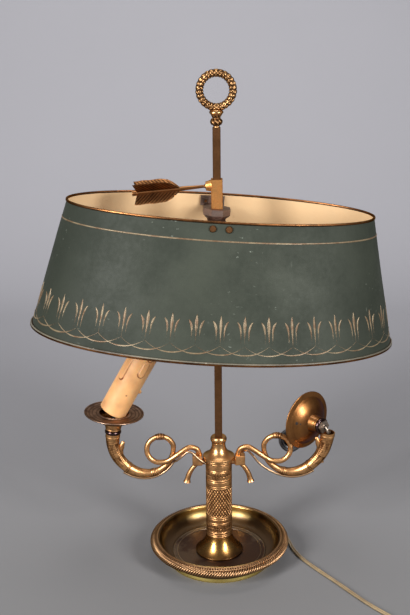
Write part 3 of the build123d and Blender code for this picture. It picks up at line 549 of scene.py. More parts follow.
@cache
def wear() -> bpy.types.NodeTree:
    """Paint in use: mottling, small light chips, faint runs and a fine orange-peel surface."""
    effect = Effect("wear", Vector=None, Paint=(0.1, 0.1, 0.1), Shade=(0.05, 0.05, 0.05), Chip=(0.5, 0.5, 0.5),
                    Chips=0.5, Mottle=0.5, Smooth=0.3, Dull=0.5)
    graph = effect.graph
    where, paint, shade, chip, chips, mottle, smooth, dull = effect.given
    broad = graph.ramp(graph.noise(where, 14.0, 4.0, 0.6), 0.3, 0.72)
    small = graph.noise(where, 210.0, 4.0, 0.7)
    cloud = (broad * 0.7 + small * 0.5) * mottle
    coat = graph.mix(cloud.held(), paint, shade)
    spots = graph.noise(graph.stretched(where, (1.0, 1.0, 1.7)), 170.0, 3.0, 0.6)
    sparse = graph.ramp(graph.noise(where, 13.0, 2.0, 0.5), 0.48, 0.66)
    flaws = graph.ramp(spots, 0.665, 0.70) * sparse * chips
    runs = graph.noise(graph.stretched(where, (30.0, 30.0, 9.0)), 6.0, 5.0, 0.7)
    rubbed_and_lit = graph.ramp(runs, 0.62, 0.8) * 0.18
    colour = graph.mix((flaws + rubbed_and_lit * chips).held(), coat, chip)
    rough = graph.ramp(small * 0.6 + broad * 0.4, 0.2, 0.8, smooth, dull)
    return effect.close(colour, rough, graph.noise(where, 700.0, 1.0, 0.4) * 0.5 - flaws)


Inputs = dict[str, Union[Value, tuple]]


@dataclass(frozen=True)
class Look:
    """A finish: the name of the slot that it belongs to, and how its material is made."""

    slot: str

    def inputs(self, graph: Graph, where: Wire) -> Inputs:
        """The shader's inputs by name, and under "bump" a height, its strength and its distance."""
        raise NotImplementedError

    def build(self, name: str) -> bpy.types.Material:
        """A node material: the inputs fed into a Principled BSDF on the object's own coordinates."""
        material = bpy.data.materials.new(name)
        material.use_nodes = True
        material.node_tree.nodes.clear()
        graph = Graph(material.node_tree)
        shader = graph.add("BsdfPrincipled")
        graph.add("OutputMaterial", in_Surface=shader)
        given = self.inputs(graph, graph.out("TexCoord", "Object"))
        if "bump" in given:
            height, strength, distance = given.pop("bump")
            given["Normal"] = graph.add("Bump", in_Strength=strength, in_Distance=distance, in_Height=height)
        for label, value in given.items():
            graph.feed(shader.inputs[label], value)
        return material


@dataclass(frozen=True)
class Metal(Look):
    """An aged metal: its rubbed and its browned colour, how blotched it is, its gloss, and how far painted shade
    darkens the edges that turn away.
    """

    bright: Colour
    dark: Colour
    patina: float = 0.45
    smooth: float = 0.2
    dull: float = 0.42
    blotch: float = 55.0
    recess: float = 0.85
    grain: float = 0.14
    carved: bool = True
    edge_shade: float = 0.65
    lacquer: float = 0.0
    tint: Colour = (0.60, 0.46, 0.32)

    def inputs(self, graph: Graph, where: Wire) -> Inputs:
        """Patina over bare metal, with painted shade that darkens it towards the edges that turn away from the
        view.
        """
        height = {"Relief": graph.relief()} if self.carved else {}
        colour, rough, rise = graph.group(
            patina(), Vector=where, Bright=self.bright, Dark=self.dark, Blotch_Size=self.blotch,
            Patina=self.patina, Recess=self.recess, Smooth=self.smooth, Dull=self.dull, **height)
        # painted shade: the colour is mixed towards half its dark tone where the surface turns away from the view
        edge = graph.ramp(graph.out("LayerWeight", "Facing", in_Blend=0.5), 0.35, 1.0, 0.0, self.edge_shade)
        deep = tuple(0.5 * value for value in self.dark)
        return {"Base Color": graph.mix(edge, colour, deep), "Roughness": rough, "Metallic": 1.0,
                "Specular Tint": self.tint, "Coat Weight": self.lacquer, "Coat Roughness": 0.24,
                "bump": (rise, self.grain, 0.0004)}


@dataclass(frozen=True)
class Paint(Look):
    """Paint on sheet metal: its colour, its clouded shade, its chips, its gloss, and painted shade at its two
    ends.
    """

    colour: Colour
    shade: Colour
    chip: Colour
    chips: float = 0.5
    mottle: float = 0.5
    smooth: float = 0.35
    dull: float = 0.55
    gloss: float = 0.5
    grain: float = 0.2
    ends: tuple[float, float] = (0.0, 0.0)

    def inputs(self, graph: Graph, where: Wire) -> Inputs:
        """Worn paint, with painted shade that darkens it towards the two ends of the oval."""
        colour, rough, rise = graph.group(
            wear(), Vector=where, Paint=self.colour, Shade=self.shade, Chip=self.chip, Chips=self.chips,
            Mottle=self.mottle, Smooth=self.smooth, Dull=self.dull)
        # painted shade: the paint is mixed towards its shade colour further out along X, more strongly to the left
        along = graph.out("SeparateXYZ", "X", in_Vector=where)
        left = graph.ramp(along * -1.0, -0.01, 0.13, 0.0, self.ends[0])
        right = graph.ramp(along, 0.05, 0.16, 0.0, self.ends[1])
        return {"Base Color": graph.mix(left + right, colour, self.shade), "Roughness": rough,
                "Specular IOR Level": self.gloss, "bump": (rise, self.grain, 0.0003)}


@dataclass(frozen=True)
class Wax(Look):
    """A candle sleeve's waxed card: creamy, a little see-through, with warmer streaks."""

    colour: Colour
    warm: Colour

    def inputs(self, graph: Graph, where: Wire) -> Inputs:
        """Clouded wax, warmer where the mesh's relief is low."""
        cloud = graph.noise(where, 40.0, 3.0, 0.5)
        fine = graph.noise(where, 600.0, 2.0, 0.5)
        warm = (graph.ramp(cloud, 0.42, 0.8) * 0.4 + (1.0 - graph.relief())).held()
        return {"Base Color": graph.mix(warm, self.colour, self.warm),
                "Roughness": graph.ramp(cloud, 0.2, 0.8, 0.38, 0.55), "Subsurface Weight": 0.25,
                "Subsurface Radius": (0.006, 0.003, 0.0015), "Subsurface Scale": 0.6,
                "bump": (fine + cloud * 2.0, 0.2, 0.0003)}


@dataclass(frozen=True)
class Plastic(Look):
    """A moulded plastic with a fine surface grain and slight clouding."""

    colour: Colour
    cloud: Colour
    rough: float = 0.35
    grain: float = 0.15

    def inputs(self, graph: Graph, where: Wire) -> Inputs:
        """Two tones clouded together under a fine grain."""
        fine = graph.noise(where, 1200.0, 2.0, 0.5)
        share = graph.noise(where, 70.0, 3.0, 0.55) * 0.7 + fine * 0.3
        return {"Base Color": graph.mix(graph.ramp(share, 0.3, 0.7), self.colour, self.cloud),
                "Roughness": graph.ramp(fine, 0.2, 0.8, self.rough, self.rough + 0.18),
                "bump": (fine, self.grain, 0.0003)}


@dataclass(frozen=True)
class Felt(Look):
    """Pressed wool felt: matted fibres of two tones."""

    colour: Colour
    fibre: Colour

    def inputs(self, graph: Graph, where: Wire) -> Inputs:
        """Hairs laid one way over a matted ground."""
        hair = graph.noise(graph.stretched(where, (900.0, 2400.0, 900.0)), 1.0, 3.0, 0.7)
        share = (hair + graph.noise(where, 300.0, 4.0, 0.7)) * 0.5
        return {"Base Color": graph.mix(graph.ramp(share, 0.35, 0.65), self.colour, self.fibre),
                "Roughness": 0.95, "Sheen Weight": 0.4, "bump": (share, 0.6, 0.0006)}


@dataclass(frozen=True)
class Gilding(Look):
    """Painted gold lines, rubbed through in places so that the paint beneath shows."""

    gold: Colour
    aged: Colour

    def inputs(self, graph: Graph, where: Wire) -> Inputs:
        """Gold of two tones, worn away by its alpha in flakes and where the relief is low."""
        flake = graph.noise(where, 330.0, 3.0, 0.65)
        kept = flake * 0.55 + graph.noise(where, 28.0, 2.0, 0.5) * 0.25 + graph.relief() * 0.45
        tone = graph.ramp(graph.noise(where, 120.0, 3.0, 0.6), 0.35, 0.7)
        return {"Base Color": graph.mix(tone, self.gold, self.aged),
                "Alpha": graph.ramp(kept, 0.42, 0.68, 0.03, 0.85), "Metallic": 0.25, "Roughness": 0.45,
                "bump": (flake, 0.2, 0.0002)}


@dataclass(frozen=True)
class Paper(Look):
    """Backdrop paper, darker on the floor than on the wall, and clear from its back."""

    def inputs(self, graph: Graph, where: Wire) -> Inputs:
        """Two greys blended by how far back the paper is."""
        rise = graph.ramp(graph.out("SeparateXYZ", "Y", in_Vector=where), -0.4, 1.35)
        tone = graph.mix(rise, (0.152, 0.150, 0.149), (0.392, 0.385, 0.411))
        return {"Base Color": graph.mix(graph.noise(where, 3.0, 2.0, 0.5) * 0.06, tone, (0.1, 0.1, 0.1)),
                "Roughness": 0.9, "Specular IOR Level": 0.2,
                "Alpha": 1.0 - graph.out("NewGeometry", "Backfacing")}


class Finish(Enum):
    """Every finish on the lamp; its material has the finish's name in small letters."""

    AGED_BRASS = Metal("dark_brass", (0.74, 0.42, 0.18), (0.05, 0.026, 0.012), 0.5, 0.27, 0.46, recess=1.0,
                       edge_shade=0.9)
    POLISHED_BRASS = Metal("dark_brass", (0.52, 0.28, 0.07), (0.09, 0.04, 0.010), 0.45, 0.2, 0.34, grain=0.06,
                           edge_shade=0.9, lacquer=0.35)
    FOOT_BRASS = Metal("dark_brass", (0.98, 0.79, 0.26), (0.66, 0.46, 0.12), 0.45, 0.22, 0.36, grain=0.06,
                       carved=False, edge_shade=0.35)
    DISH_BRASS = Metal("dark_brass", (0.86, 0.62, 0.20), (0.085, 0.054, 0.023), 0.25, 0.26, 0.42, 20.0,
                       recess=1.0, grain=0.06, edge_shade=0.8, lacquer=0.3)
    DISH_FLOOR = Metal("dark_brass", (0.38, 0.30, 0.20), (0.062, 0.048, 0.044), 0.6, 0.33, 0.46, 34.0, grain=0.08)
    COPPERY_BRASS = Metal("gilt_brass", (0.88, 0.48, 0.205), (0.085, 0.034, 0.013), 0.6, 0.31, 0.50, 150.0,
                          recess=1.0, grain=0.25, edge_shade=0.92)
    DOME_COPPER = Metal("gilt_brass", (0.38, 0.165, 0.046), (0.085, 0.030, 0.008), 0.75, 0.32, 0.42, 30.0,
                        recess=1.0, grain=0.05, edge_shade=1.0, lacquer=0.3, tint=(0.40, 0.24, 0.12))
    RIM_BRASS = Metal("gilt_brass", (0.54, 0.32, 0.165), (0.035, 0.018, 0.010), 0.35, 0.3, 0.46, recess=1.0,
                      edge_shade=0.85)
    BRIGHT_BRASS = Metal("gilt_brass", (0.66, 0.45, 0.27), (0.30, 0.15, 0.07), 0.4, 0.32, 0.5, carved=False)
    BLOCK_BRASS = Metal("gilt_brass", (0.84, 0.42, 0.14), (0.42, 0.16, 0.045), 0.8, 0.36, 0.56, 190.0,
                        carved=False)
    LUG_BRASS = Metal("gilt_brass", (0.86, 0.47, 0.20), (0.20, 0.08, 0.03), 0.75, 0.36, 0.56, carved=False,
                      edge_shade=0.5)
    BROWNED_BRASS = Metal("brown_brass", (0.40, 0.27, 0.19), (0.115, 0.088, 0.076), 0.75, 0.27, 0.44, 110.0,
                          recess=1.0, edge_shade=0.7, tint=(0.5, 0.40, 0.32))
    ROD_BRASS = Metal("brown_brass", (0.24, 0.115, 0.05), (0.07, 0.034, 0.018), 0.7, 0.3, 0.5, carved=False)
    RIM_BRONZE = Metal("bronze_trim", (0.36, 0.15, 0.055), (0.025, 0.014, 0.009), 0.7, 0.25, 0.45)
    DARK_BEAD = Metal("brown_brass", (0.060, 0.048, 0.062), (0.02, 0.015, 0.022), 0.5, 0.16, 0.34)
    ARROW_BRASS = Metal("dark_brass", (0.38, 0.17, 0.065), (0.022, 0.010, 0.006), 0.5, 0.28, 0.46, recess=1.0)
    DULL_STEEL = Metal("zinc_steel", (0.52, 0.43, 0.39), (0.17, 0.12, 0.11), 0.5, 0.3, 0.5, 120.0, carved=False)
    RAW_IRON = Metal("iron", (0.12, 0.11, 0.10), (0.05, 0.035, 0.03), 0.6, 0.5, 0.75, 160.0, carved=False)
    TINNED_METAL = Metal("tinned_wire", (0.44, 0.38, 0.32), (0.12, 0.09, 0.07), 0.5, 0.3, 0.5, carved=False)
    BRIGHT_PIN = Metal("pin_brass", (0.80, 0.62, 0.30), (0.45, 0.30, 0.12), 0.3, 0.15, 0.3, carved=False)
    GREEN_PAINT = Paint("tole_green", (0.0495, 0.0560, 0.0410), (0.0215, 0.0258, 0.0187), (0.20, 0.22, 0.18),
                        chips=0.9, mottle=0.9, smooth=0.54, dull=0.72, gloss=0.19, grain=0.45, ends=(0.62, 0.4))
    # paler paint on the bottom roll's top: worn paint and a painted highlight
    WORN_AND_LIT_EDGE = Paint("tole_green", (0.20, 0.18, 0.13), (0.05, 0.042, 0.03), (0.46, 0.42, 0.32), 1.0, 1.0)
    CREAM_PAINT = Paint("tole_green", (0.72, 0.50, 0.28), (0.66, 0.42, 0.21), (0.55, 0.34, 0.16), 0.35,
                        smooth=0.5, dull=0.7)
    GOLD_LINE = Gilding("tole_green", (0.26, 0.195, 0.115), (0.16, 0.09, 0.045))
    WAXED_CARD = Wax("candle", (0.75, 0.40, 0.165), (0.20, 0.055, 0.012))
    BLACK_PHENOLIC = Plastic("holder_black", (0.012, 0.013, 0.016), (0.022, 0.022, 0.026), 0.3)
    GOLD_FLEX = Plastic("cord_gold", (0.22, 0.155, 0.085), (0.32, 0.235, 0.13), 0.34, 0.08)
    GOLD_PLUG = Plastic("plug_gold", (0.40, 0.26, 0.10), (0.50, 0.33, 0.13))
    HOLE_SHADOW = Plastic("holder_black", (0.010, 0.006, 0.004), (0.02, 0.012, 0.008), 0.82)
    GREEN_FELT = Felt("felt", (0.02, 0.05, 0.025), (0.05, 0.09, 0.05))

    def material(self) -> bpy.types.Material:
        """The finish's material, built at its first use."""
        name = self.name.lower()
        return bpy.data.materials.get(name) or self.value.build(name)


def make(name: str, patches: Sequence[Patch], finishes: Sequence[Finish], *nodes: str, body: str = "stand",
         sharp: float = 40.0) -> bpy.types.Object:
    """A finished piece: meshed, dressed, riding on its body and standing for its CAD nodes.

    Args:
        name: the piece's name.
        patches: its closed surfaces, in millimetres.
        finishes: its finishes, in the order of its faces' material numbers.
        nodes: the CAD nodes that it replaces.
        body: the body that it rides on.
        sharp: angle in degrees above which an edge stays sharp.

    Returns:
        The new object.
    """
    piece = make_mesh(name, patches, sharp)
    for finish in finishes:
        piece.data.materials.append(finish.material())
    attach(piece, body)
    if nodes:
        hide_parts(*nodes)
    log.info("%s: %d faces", name, len(piece.data.polygons))
    return piece


def dress_node(finish: Finish, *nodes: str) -> None:
    """Give CAD nodes that stay as they are a detailed material."""
    for node in nodes:
        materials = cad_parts[node].data.materials
        materials.clear()
        materials.append(finish.material())
    log.info("dressed %s in %s", ", ".join(nodes), finish.name.lower())


# ---------- camera, floor and lights
@dataclass
class Studio:
    """The camera, a curved backdrop and soft lights at a plain level."""

    eye: Triple = (-13.3, -1003.0, 606.0)
    tilt: float = 17.27
    roll: float = -0.62
    lens: float = 58.54
    half_width: float = 2400.0
    front: float = -1600.0
    curve_start: float = 900.0
    curve_radius: float = 700.0
    wall_top: float = 2600.0

    def camera(self) -> None:
        """Stand the camera at the viewing angle."""
        data = bpy.data.cameras.new("camera")
        data.lens, data.sensor_width, data.clip_end = self.lens, 36.0, 30.0
        view = linked("camera", data)
        view.matrix_world = (
            Matrix.Translation(Vector(self.eye) * MM)
            @ Matrix.Rotation(radians(90 - self.tilt), 4, "X")
            @ Matrix.Rotation(radians(self.roll), 4, "Z")
        )
        bpy.context.scene.camera = view

    def backdrop(self) -> None:
        """A floor that curves up into a wall: a line, a quarter circle and a line, drawn out along X."""
        turn = np.linspace(0.0, pi / 2, 24)
        wall = self.curve_start + self.curve_radius
        bend = np.stack([self.curve_start + self.curve_radius * np.sin(turn),
                         self.curve_radius * (1 - np.cos(turn))], 1)
        line = np.vstack([[(self.front, 0.0)], bend, [(wall, self.wall_top)]])
        points = np.empty((len(line), 2, 3))
        points[..., 0] = (-self.half_width, self.half_width)
        points[..., 1:] = line[:, None]
        sheet = make_mesh("backdrop", [Patch(points, wrap_columns=False)])
        if sheet.data.polygons[0].normal[2] < 0:
            sheet.data.flip_normals()
        sheet.data.materials.append(Paper("").build("backdrop_paper"))

    def light(self, name: str, at: Sequence[float], to: Sequence[float], size: Sequence[float],
              watts: float) -> None:
        """A soft rectangular lamp.

        Args:
            name: its name.
            at: where it stands, in millimetres.
            to: the point that it faces.
            size: its width and height, in millimetres.
            watts: its power.
        """
        data = bpy.data.lights.new(name, "AREA")
        data.shape, data.size, data.size_y = "RECTANGLE", size[0] * MM, size[1] * MM
        data.energy = watts
        lamp = linked(name, data)
        lamp.location = Vector(at) * MM
        lamp.rotation_euler = (Vector(to) - Vector(at)).to_track_quat("-Z", "Y").to_euler()

    def lights(self) -> None:
        """Two tall softboxes in front, one overhead, a weak fill and a dim surround."""
        self.light("softbox_left", (-1150, -1250, 900), (0, 0, 230), (420, 900), 44)
        self.light("softbox_right", (1150, -1250, 900), (0, 0, 230), (420, 900), 34)
        self.light("overhead", (0, 100, 1900), (0, 100, 0), (900, 700), 9)
        self.light("wall_wash", (0, 700, 1700), (0, 1700, 900), (2200, 300), 8)
        world = bpy.data.worlds.new("surround")
        world.use_nodes = True
        shade = world.node_tree.nodes["Background"].inputs
        shade[0].default_value, shade[1].default_value = (0.10, 0.10, 0.105, 1.0), 1.0
        bpy.context.scene.world = world
        bpy.context.scene.view_settings.view_transform = "Standard"

    def build(self) -> None:
        """Camera, backdrop and lights."""
        self.camera()
        self.backdrop()
        self.lights()
        log.info("camera, backdrop and lights stand")


# ---------- flexible cord
@dataclass
class FlexCord:
    """Flat twin flex: out of the foot, round the lamp and off to a neat coil with its plug."""

    width: float = 4.2
    thickness: float = 2.4
    twist: float = 46.0
    level: float = 2.2
    length: float = 1790.0
    route: tuple = (
        (0, 57), (0, 76), (14, 93), (38, 95), (60, 80), (74, 55), (80.5, 28), (85, 4), (94, -16),
        (111, -41.5), (127, -63.8), (143, -88.3), (156.5, -107), (171, -123.8), (187, -139), (201, -156),
    )
    coil_radius: float = 24.5
    turn_points: int = 18
    turns: tuple = ((1, 0), (0, 0), (-1, 0), (-1, 1), (-1, 2), (0, 2), (0, 1), (1, 2), (1, 1))

    def control(self) -> Array:
        """Control points of the cord: the way there, the coil and the tail to the plug.

        The coil is C + R(-cos p inward + sin p onward), rising layer by layer: each turn has a row
        and a layer, and radius and height ease from one turn's to the next's.
        """
        way = np.array(self.route, float)
        onward = unit(way[-1] - way[-2])
        inward = np.array((onward[1], -onward[0]))
        centre = way[-1] + inward * (self.coil_radius + 4.5 * self.width / 2 + 0.45 * self.width)
        many = len(self.turns)
        phase = np.arange(1, self.turn_points * many + self.turn_points // 4 + 1) / self.turn_points
        at = np.clip(phase - 0.5, 0, many - 1)
        whole = at.astype(int)
        share = past(at - whole, 0.35, 0.3)[:, None]
        places = np.array(self.turns + self.turns[-1:], float)
        row, layer = blend(places[whole], places[whole + 1], share).T
        outer = self.coil_radius + 2.05 * self.width
        ease_in = held(1 - phase / 0.25) * 0.6
        ease_out = past(phase, many, 0.25)
        radius = blend(self.coil_radius + row * self.width, outer, ease_in)
        radius = blend(radius, outer, ease_out) * 1.02
        turn = 2 * pi * phase
        flat = centre - np.outer(radius * np.cos(turn), inward) + np.outer(radius * np.sin(turn), onward)
        height = self.level + layer * self.width
        height = blend(height, self.level + self.width, ease_out)
        tail = centre + onward * outer + np.outer((6.0, 16.0, 30.4), inward)
        return np.column_stack([
            np.vstack([way, flat, tail]),
            np.concatenate([np.full(len(way), self.level), height, np.full(3, 0.1 + 1.5 * self.width)]),
        ])

    def line(self) -> Array:
        """The points of the smooth curve that the control points steer, in metres."""
        points = self.control() * MM
        data = bpy.data.curves.new("flex_line", "CURVE")
        data.dimensions, data.resolution_u = "3D", 5
        spline = data.splines.new("NURBS")
        spline.points.add(len(points) - 1)
        spline.points.foreach_set("co", np.column_stack([points, np.ones(len(points))]).ravel())
        spline.order_u = 3
        spline.use_endpoint_u = True
        holder = linked("flex_line", data)
        mesh = bpy.data.meshes.new_from_object(holder)
        line = np.empty(len(mesh.vertices) * 3)
        mesh.vertices.foreach_get("co", line)
        bpy.data.objects.remove(holder)
        return line.reshape(-1, 3)

    def section(self) -> Array:
        """Outline of two round leads side by side, joined by a web, of unit half width."""
        turn = ring_angles(20)
        across = np.cos(turn)
        lobe = np.sqrt(np.clip(0.25 - (np.abs(across) - 0.5) ** 2, 0.03, None))
        return np.stack([across, np.sign(np.sin(turn)) * lobe * np.minimum(1, np.abs(np.sin(turn)) * 4)], 1)

    def build(self) -> None:
        """The flex, its plug and pins: the section leans to and fro about the line and lies on the floor."""
        line = self.line()
        run = lengths(line)
        left = run[-1] - run
        ahead = unit(np.gradient(line, axis=0))
        side = unit(np.cross(ahead, UP))
        above = np.cross(side, ahead)
        flat = self.section() * np.array((self.width / 2, self.thickness / 2 / 0.5)) * MM
        lean = (0.16 * np.sin(run / (self.twist * MM) * 2 * pi) * held(left / 0.02))[:, None]
        across = side * np.cos(lean) + above * np.sin(lean)
        over = above * np.cos(lean) - side * np.sin(lean)
        drop = UP * (self.level - self.thickness / 2 - 0.35) * MM * held(left / 0.05)[:, None]
        centre = line - drop * (1 - past(line[:, 2:], (self.level + 0.6) * MM, MM))
        rings = centre[:, None] + across[:, None] * flat[None, :, :1] + over[:, None] * flat[None, :, 1:]
        ends = np.repeat(rings[[0, -1]].mean(1)[:, None], rings.shape[1], 1)
        rings = np.concatenate([ends[:1], rings, ends[1:]]) / MM
        flex = make("flex", [Patch(rings)], [Finish.GOLD_FLEX], "cord", "cord_coil", "cord_tail")
        dress_node(Finish.GOLD_PLUG, "plug_body")
        dress_node(Finish.BRIGHT_PIN, "plug_pins")
        dress_node(Finish.BLACK_PHENOLIC, "cord_bush")


# ---------- foot and dish
@dataclass
class Base:
    """The foot ring, the spun dish with its ridge, the gadrooned rim and the felt."""

    foot_radius: float = 59.0
    foot_height: float = 5.4
    foot_wall: float = 2.6
    cord_notch: float = 4.9
    floor_level: float = 7.0
    floor_radius: float = 54.0
    dish_wall: float = 1.5
    crest_radius: float = 68.7
    crest_height: float = 25.8
    rim_radius: float = 77.8
    rope_radius: float = 3.7
    rope_height: float = 20.6
    gadroons: int = 165
    gadroon_depth: float = 0.85
    lean: float = 0.21
    steps: int = 1320
    ridge_radius: float = 51.8
    ridge_pitch: float = 4.2

    def foot(self) -> None:
        """The foot ring under the dish: a turned band with softened edges, cut for the cord."""
        r, top, inner = self.foot_radius, self.foot_height - GAP, self.foot_radius - self.foot_wall
        line = rounded([(inner, GAP), (r - 0.3, GAP), (r, 1.4), (r - 0.8, top), (inner, top), (inner, GAP),
                        (r - 0.3, GAP)], reach=0.35, steps=5)[1:-2]
        half = self.cord_notch / r
        angle = pi / 2 + half + np.linspace(0.0, 2 * pi - 2 * half, 260)
        grid = turned(line[:, None, 0], angle, line[:, None, 1])
        ends = np.broadcast_to(grid.mean(0, keepdims=True)[:, [0, -1]], (len(line), 2, 3))
        closed = np.concatenate([ends[:, :1], grid, ends[:, 1:]], 1)
        make("foot_band", [Patch(closed, wrap_rows=True, wrap_columns=False)], [Finish.FOOT_BRASS], "foot_ring")

    def dish(self) -> None:
        """The dish, spun from sheet: floor, ridge, bowl and the flare under the rim, one closed turn.

        Its relief is low on the floor but for two ridge lines. Elsewhere it paints light and shade: low on the
        flare under the rim and the foot of the bowl, rising up the bowl into painted highlights at front and back.
        """
        r, level, under = self.ridge_radius, self.floor_level, self.foot_height
        crest, top = self.crest_radius, self.crest_height
        wall_foot = self.foot_radius + 0.5
        seat = self.rope_height - self.rope_radius * 0.6
        flare = arc((wall_foot, under), (wall_foot + (crest - wall_foot) * 0.72, under + (seat - under) * 0.42),
                    (crest, seat))
        bowl = arc((crest - self.dish_wall, top), (crest - 4.2, level + (top - level) * 0.36),
                   (self.floor_radius, level), 26)
        line = profile(
            [(ROD_HOLE, under), (wall_foot - 1.0, under)], flare, [(crest, top - 0.3), (crest - 0.4, top)],
            bowl[1:], [(self.floor_radius - 0.6, level), (r + 0.9, level)],
            arc((r + 0.8, level), (r, level + 0.7), (r - 0.7, level + 0.3), 9), [(r - 3.4, level + 0.3)],
            arc((r - 3.5, level + 0.3), (r - 4.2, level + 0.7), (r - 5.0, level), 9),
            np.linspace((r - 5.6, level), (4.0, level), 60), [(ROD_HOLE, level)])
        line = softened(line, 0.3, 3)
        inside = (line[:, 0] < self.floor_radius - 1.0) & (line[:, 1] > under + 0.5)
        ring = np.minimum(np.abs(line[:, 0] - r), np.abs(line[:, 0] - r + self.ridge_pitch))
        # painted shade low on the bowl and under the rim, rising to painted highlights up the wall
        rubbed_and_lit = 0.12 + 0.88 * held((line[:, 1] - level - 5.0) / 10.0)
        high = np.where(inside, held(1.2 - ring / 0.9) + 0.13, rubbed_and_lit)
        # painted highlights on the bowl's wall at front and back, dimmer at the sides
        wear_and_sheen = 0.12 + 0.88 * past(np.abs(np.sin(ring_angles(240))), 0.66, 0.26)
        relief = held(high)[:, None] * np.where(inside[:, None], 1.0, wear_and_sheen[None])
        make("spun_dish", [lathe(line, 240, finish=inside.astype(int), relief=relief)],
             [Finish.DISH_BRASS, Finish.DISH_FLOOR], "base_dish", sharp=30)

    def rim(self) -> None:
        """The rim: a round outer bead cut with leaning gadroons, finer ribs above, a bright crest inside.

        The bead's radius falls by depth times a row of |sin| valleys whose phase turns along the profile.
        """
        rope, level, top = self.rim_radius - self.rope_radius, self.rope_height, self.crest_height
        inner = self.crest_radius + 0.05
        shoulder = (rope - 0.6, level + self.rope_radius - 0.05)
        skirt = (rope - 1.2, level - self.rope_radius + 0.2)
        crest = arc((inner, top - 0.4), (inner + 0.6, top + 0.3), (inner + 1.6, top), 8)
        slope = np.linspace((inner + 1.6, top), shoulder, 16)[1:]
        bead = arc(shoulder, (self.rim_radius, level), skirt, 26)[1:]
        under = np.linspace(skirt, (inner, level - 1.8), 5)[1:-1]
        line = profile([(inner, level - 1.8), (inner, top - 0.4)], crest[1:], slope, bead, under)[::-1]
        radius, height = line.T
        turn = np.arange(self.steps)[None] / self.steps * self.gadroons
        on_bead = past(radius, rope - 1.2, 0.5) * past(height, skirt[1], 1.0)
        on_slope = held((radius - inner - 1.9) / 0.3) * held((rope - 1.3 - radius) / 0.3) * (height > level)
        cut = np.abs(np.sin(pi * (turn - lengths(line)[:, None] * self.lean)))
        rib = np.abs(np.sin(pi * (turn + 0.25)))
        deep = held(1.45 - 1.75 * cut) * on_bead[:, None]
        fine = held(1.3 - 1.6 * rib) * on_slope[:, None]
        high = held(1 - deep - fine * 0.8 - 0.25 * on_slope[:, None])
        sink = deep * self.gadroon_depth + fine * 0.3
        make("gadroon_rim", [lathe(line, self.steps, offset=-sink, relief=high)], [Finish.RIM_BRASS],
             "gadrooned_rim", sharp=70)

    def build(self) -> None:
        """Every part of the base."""
        self.foot()
        self.dish()
        self.rim()
        dress_node(Finish.GREEN_FELT, "felt_pad")
        dress_node(Finish.RAW_IRON, "base_weight")
        dress_node(Finish.DULL_STEEL, "tie_rod", "tie_rod_nut", "tie_rod_washer")


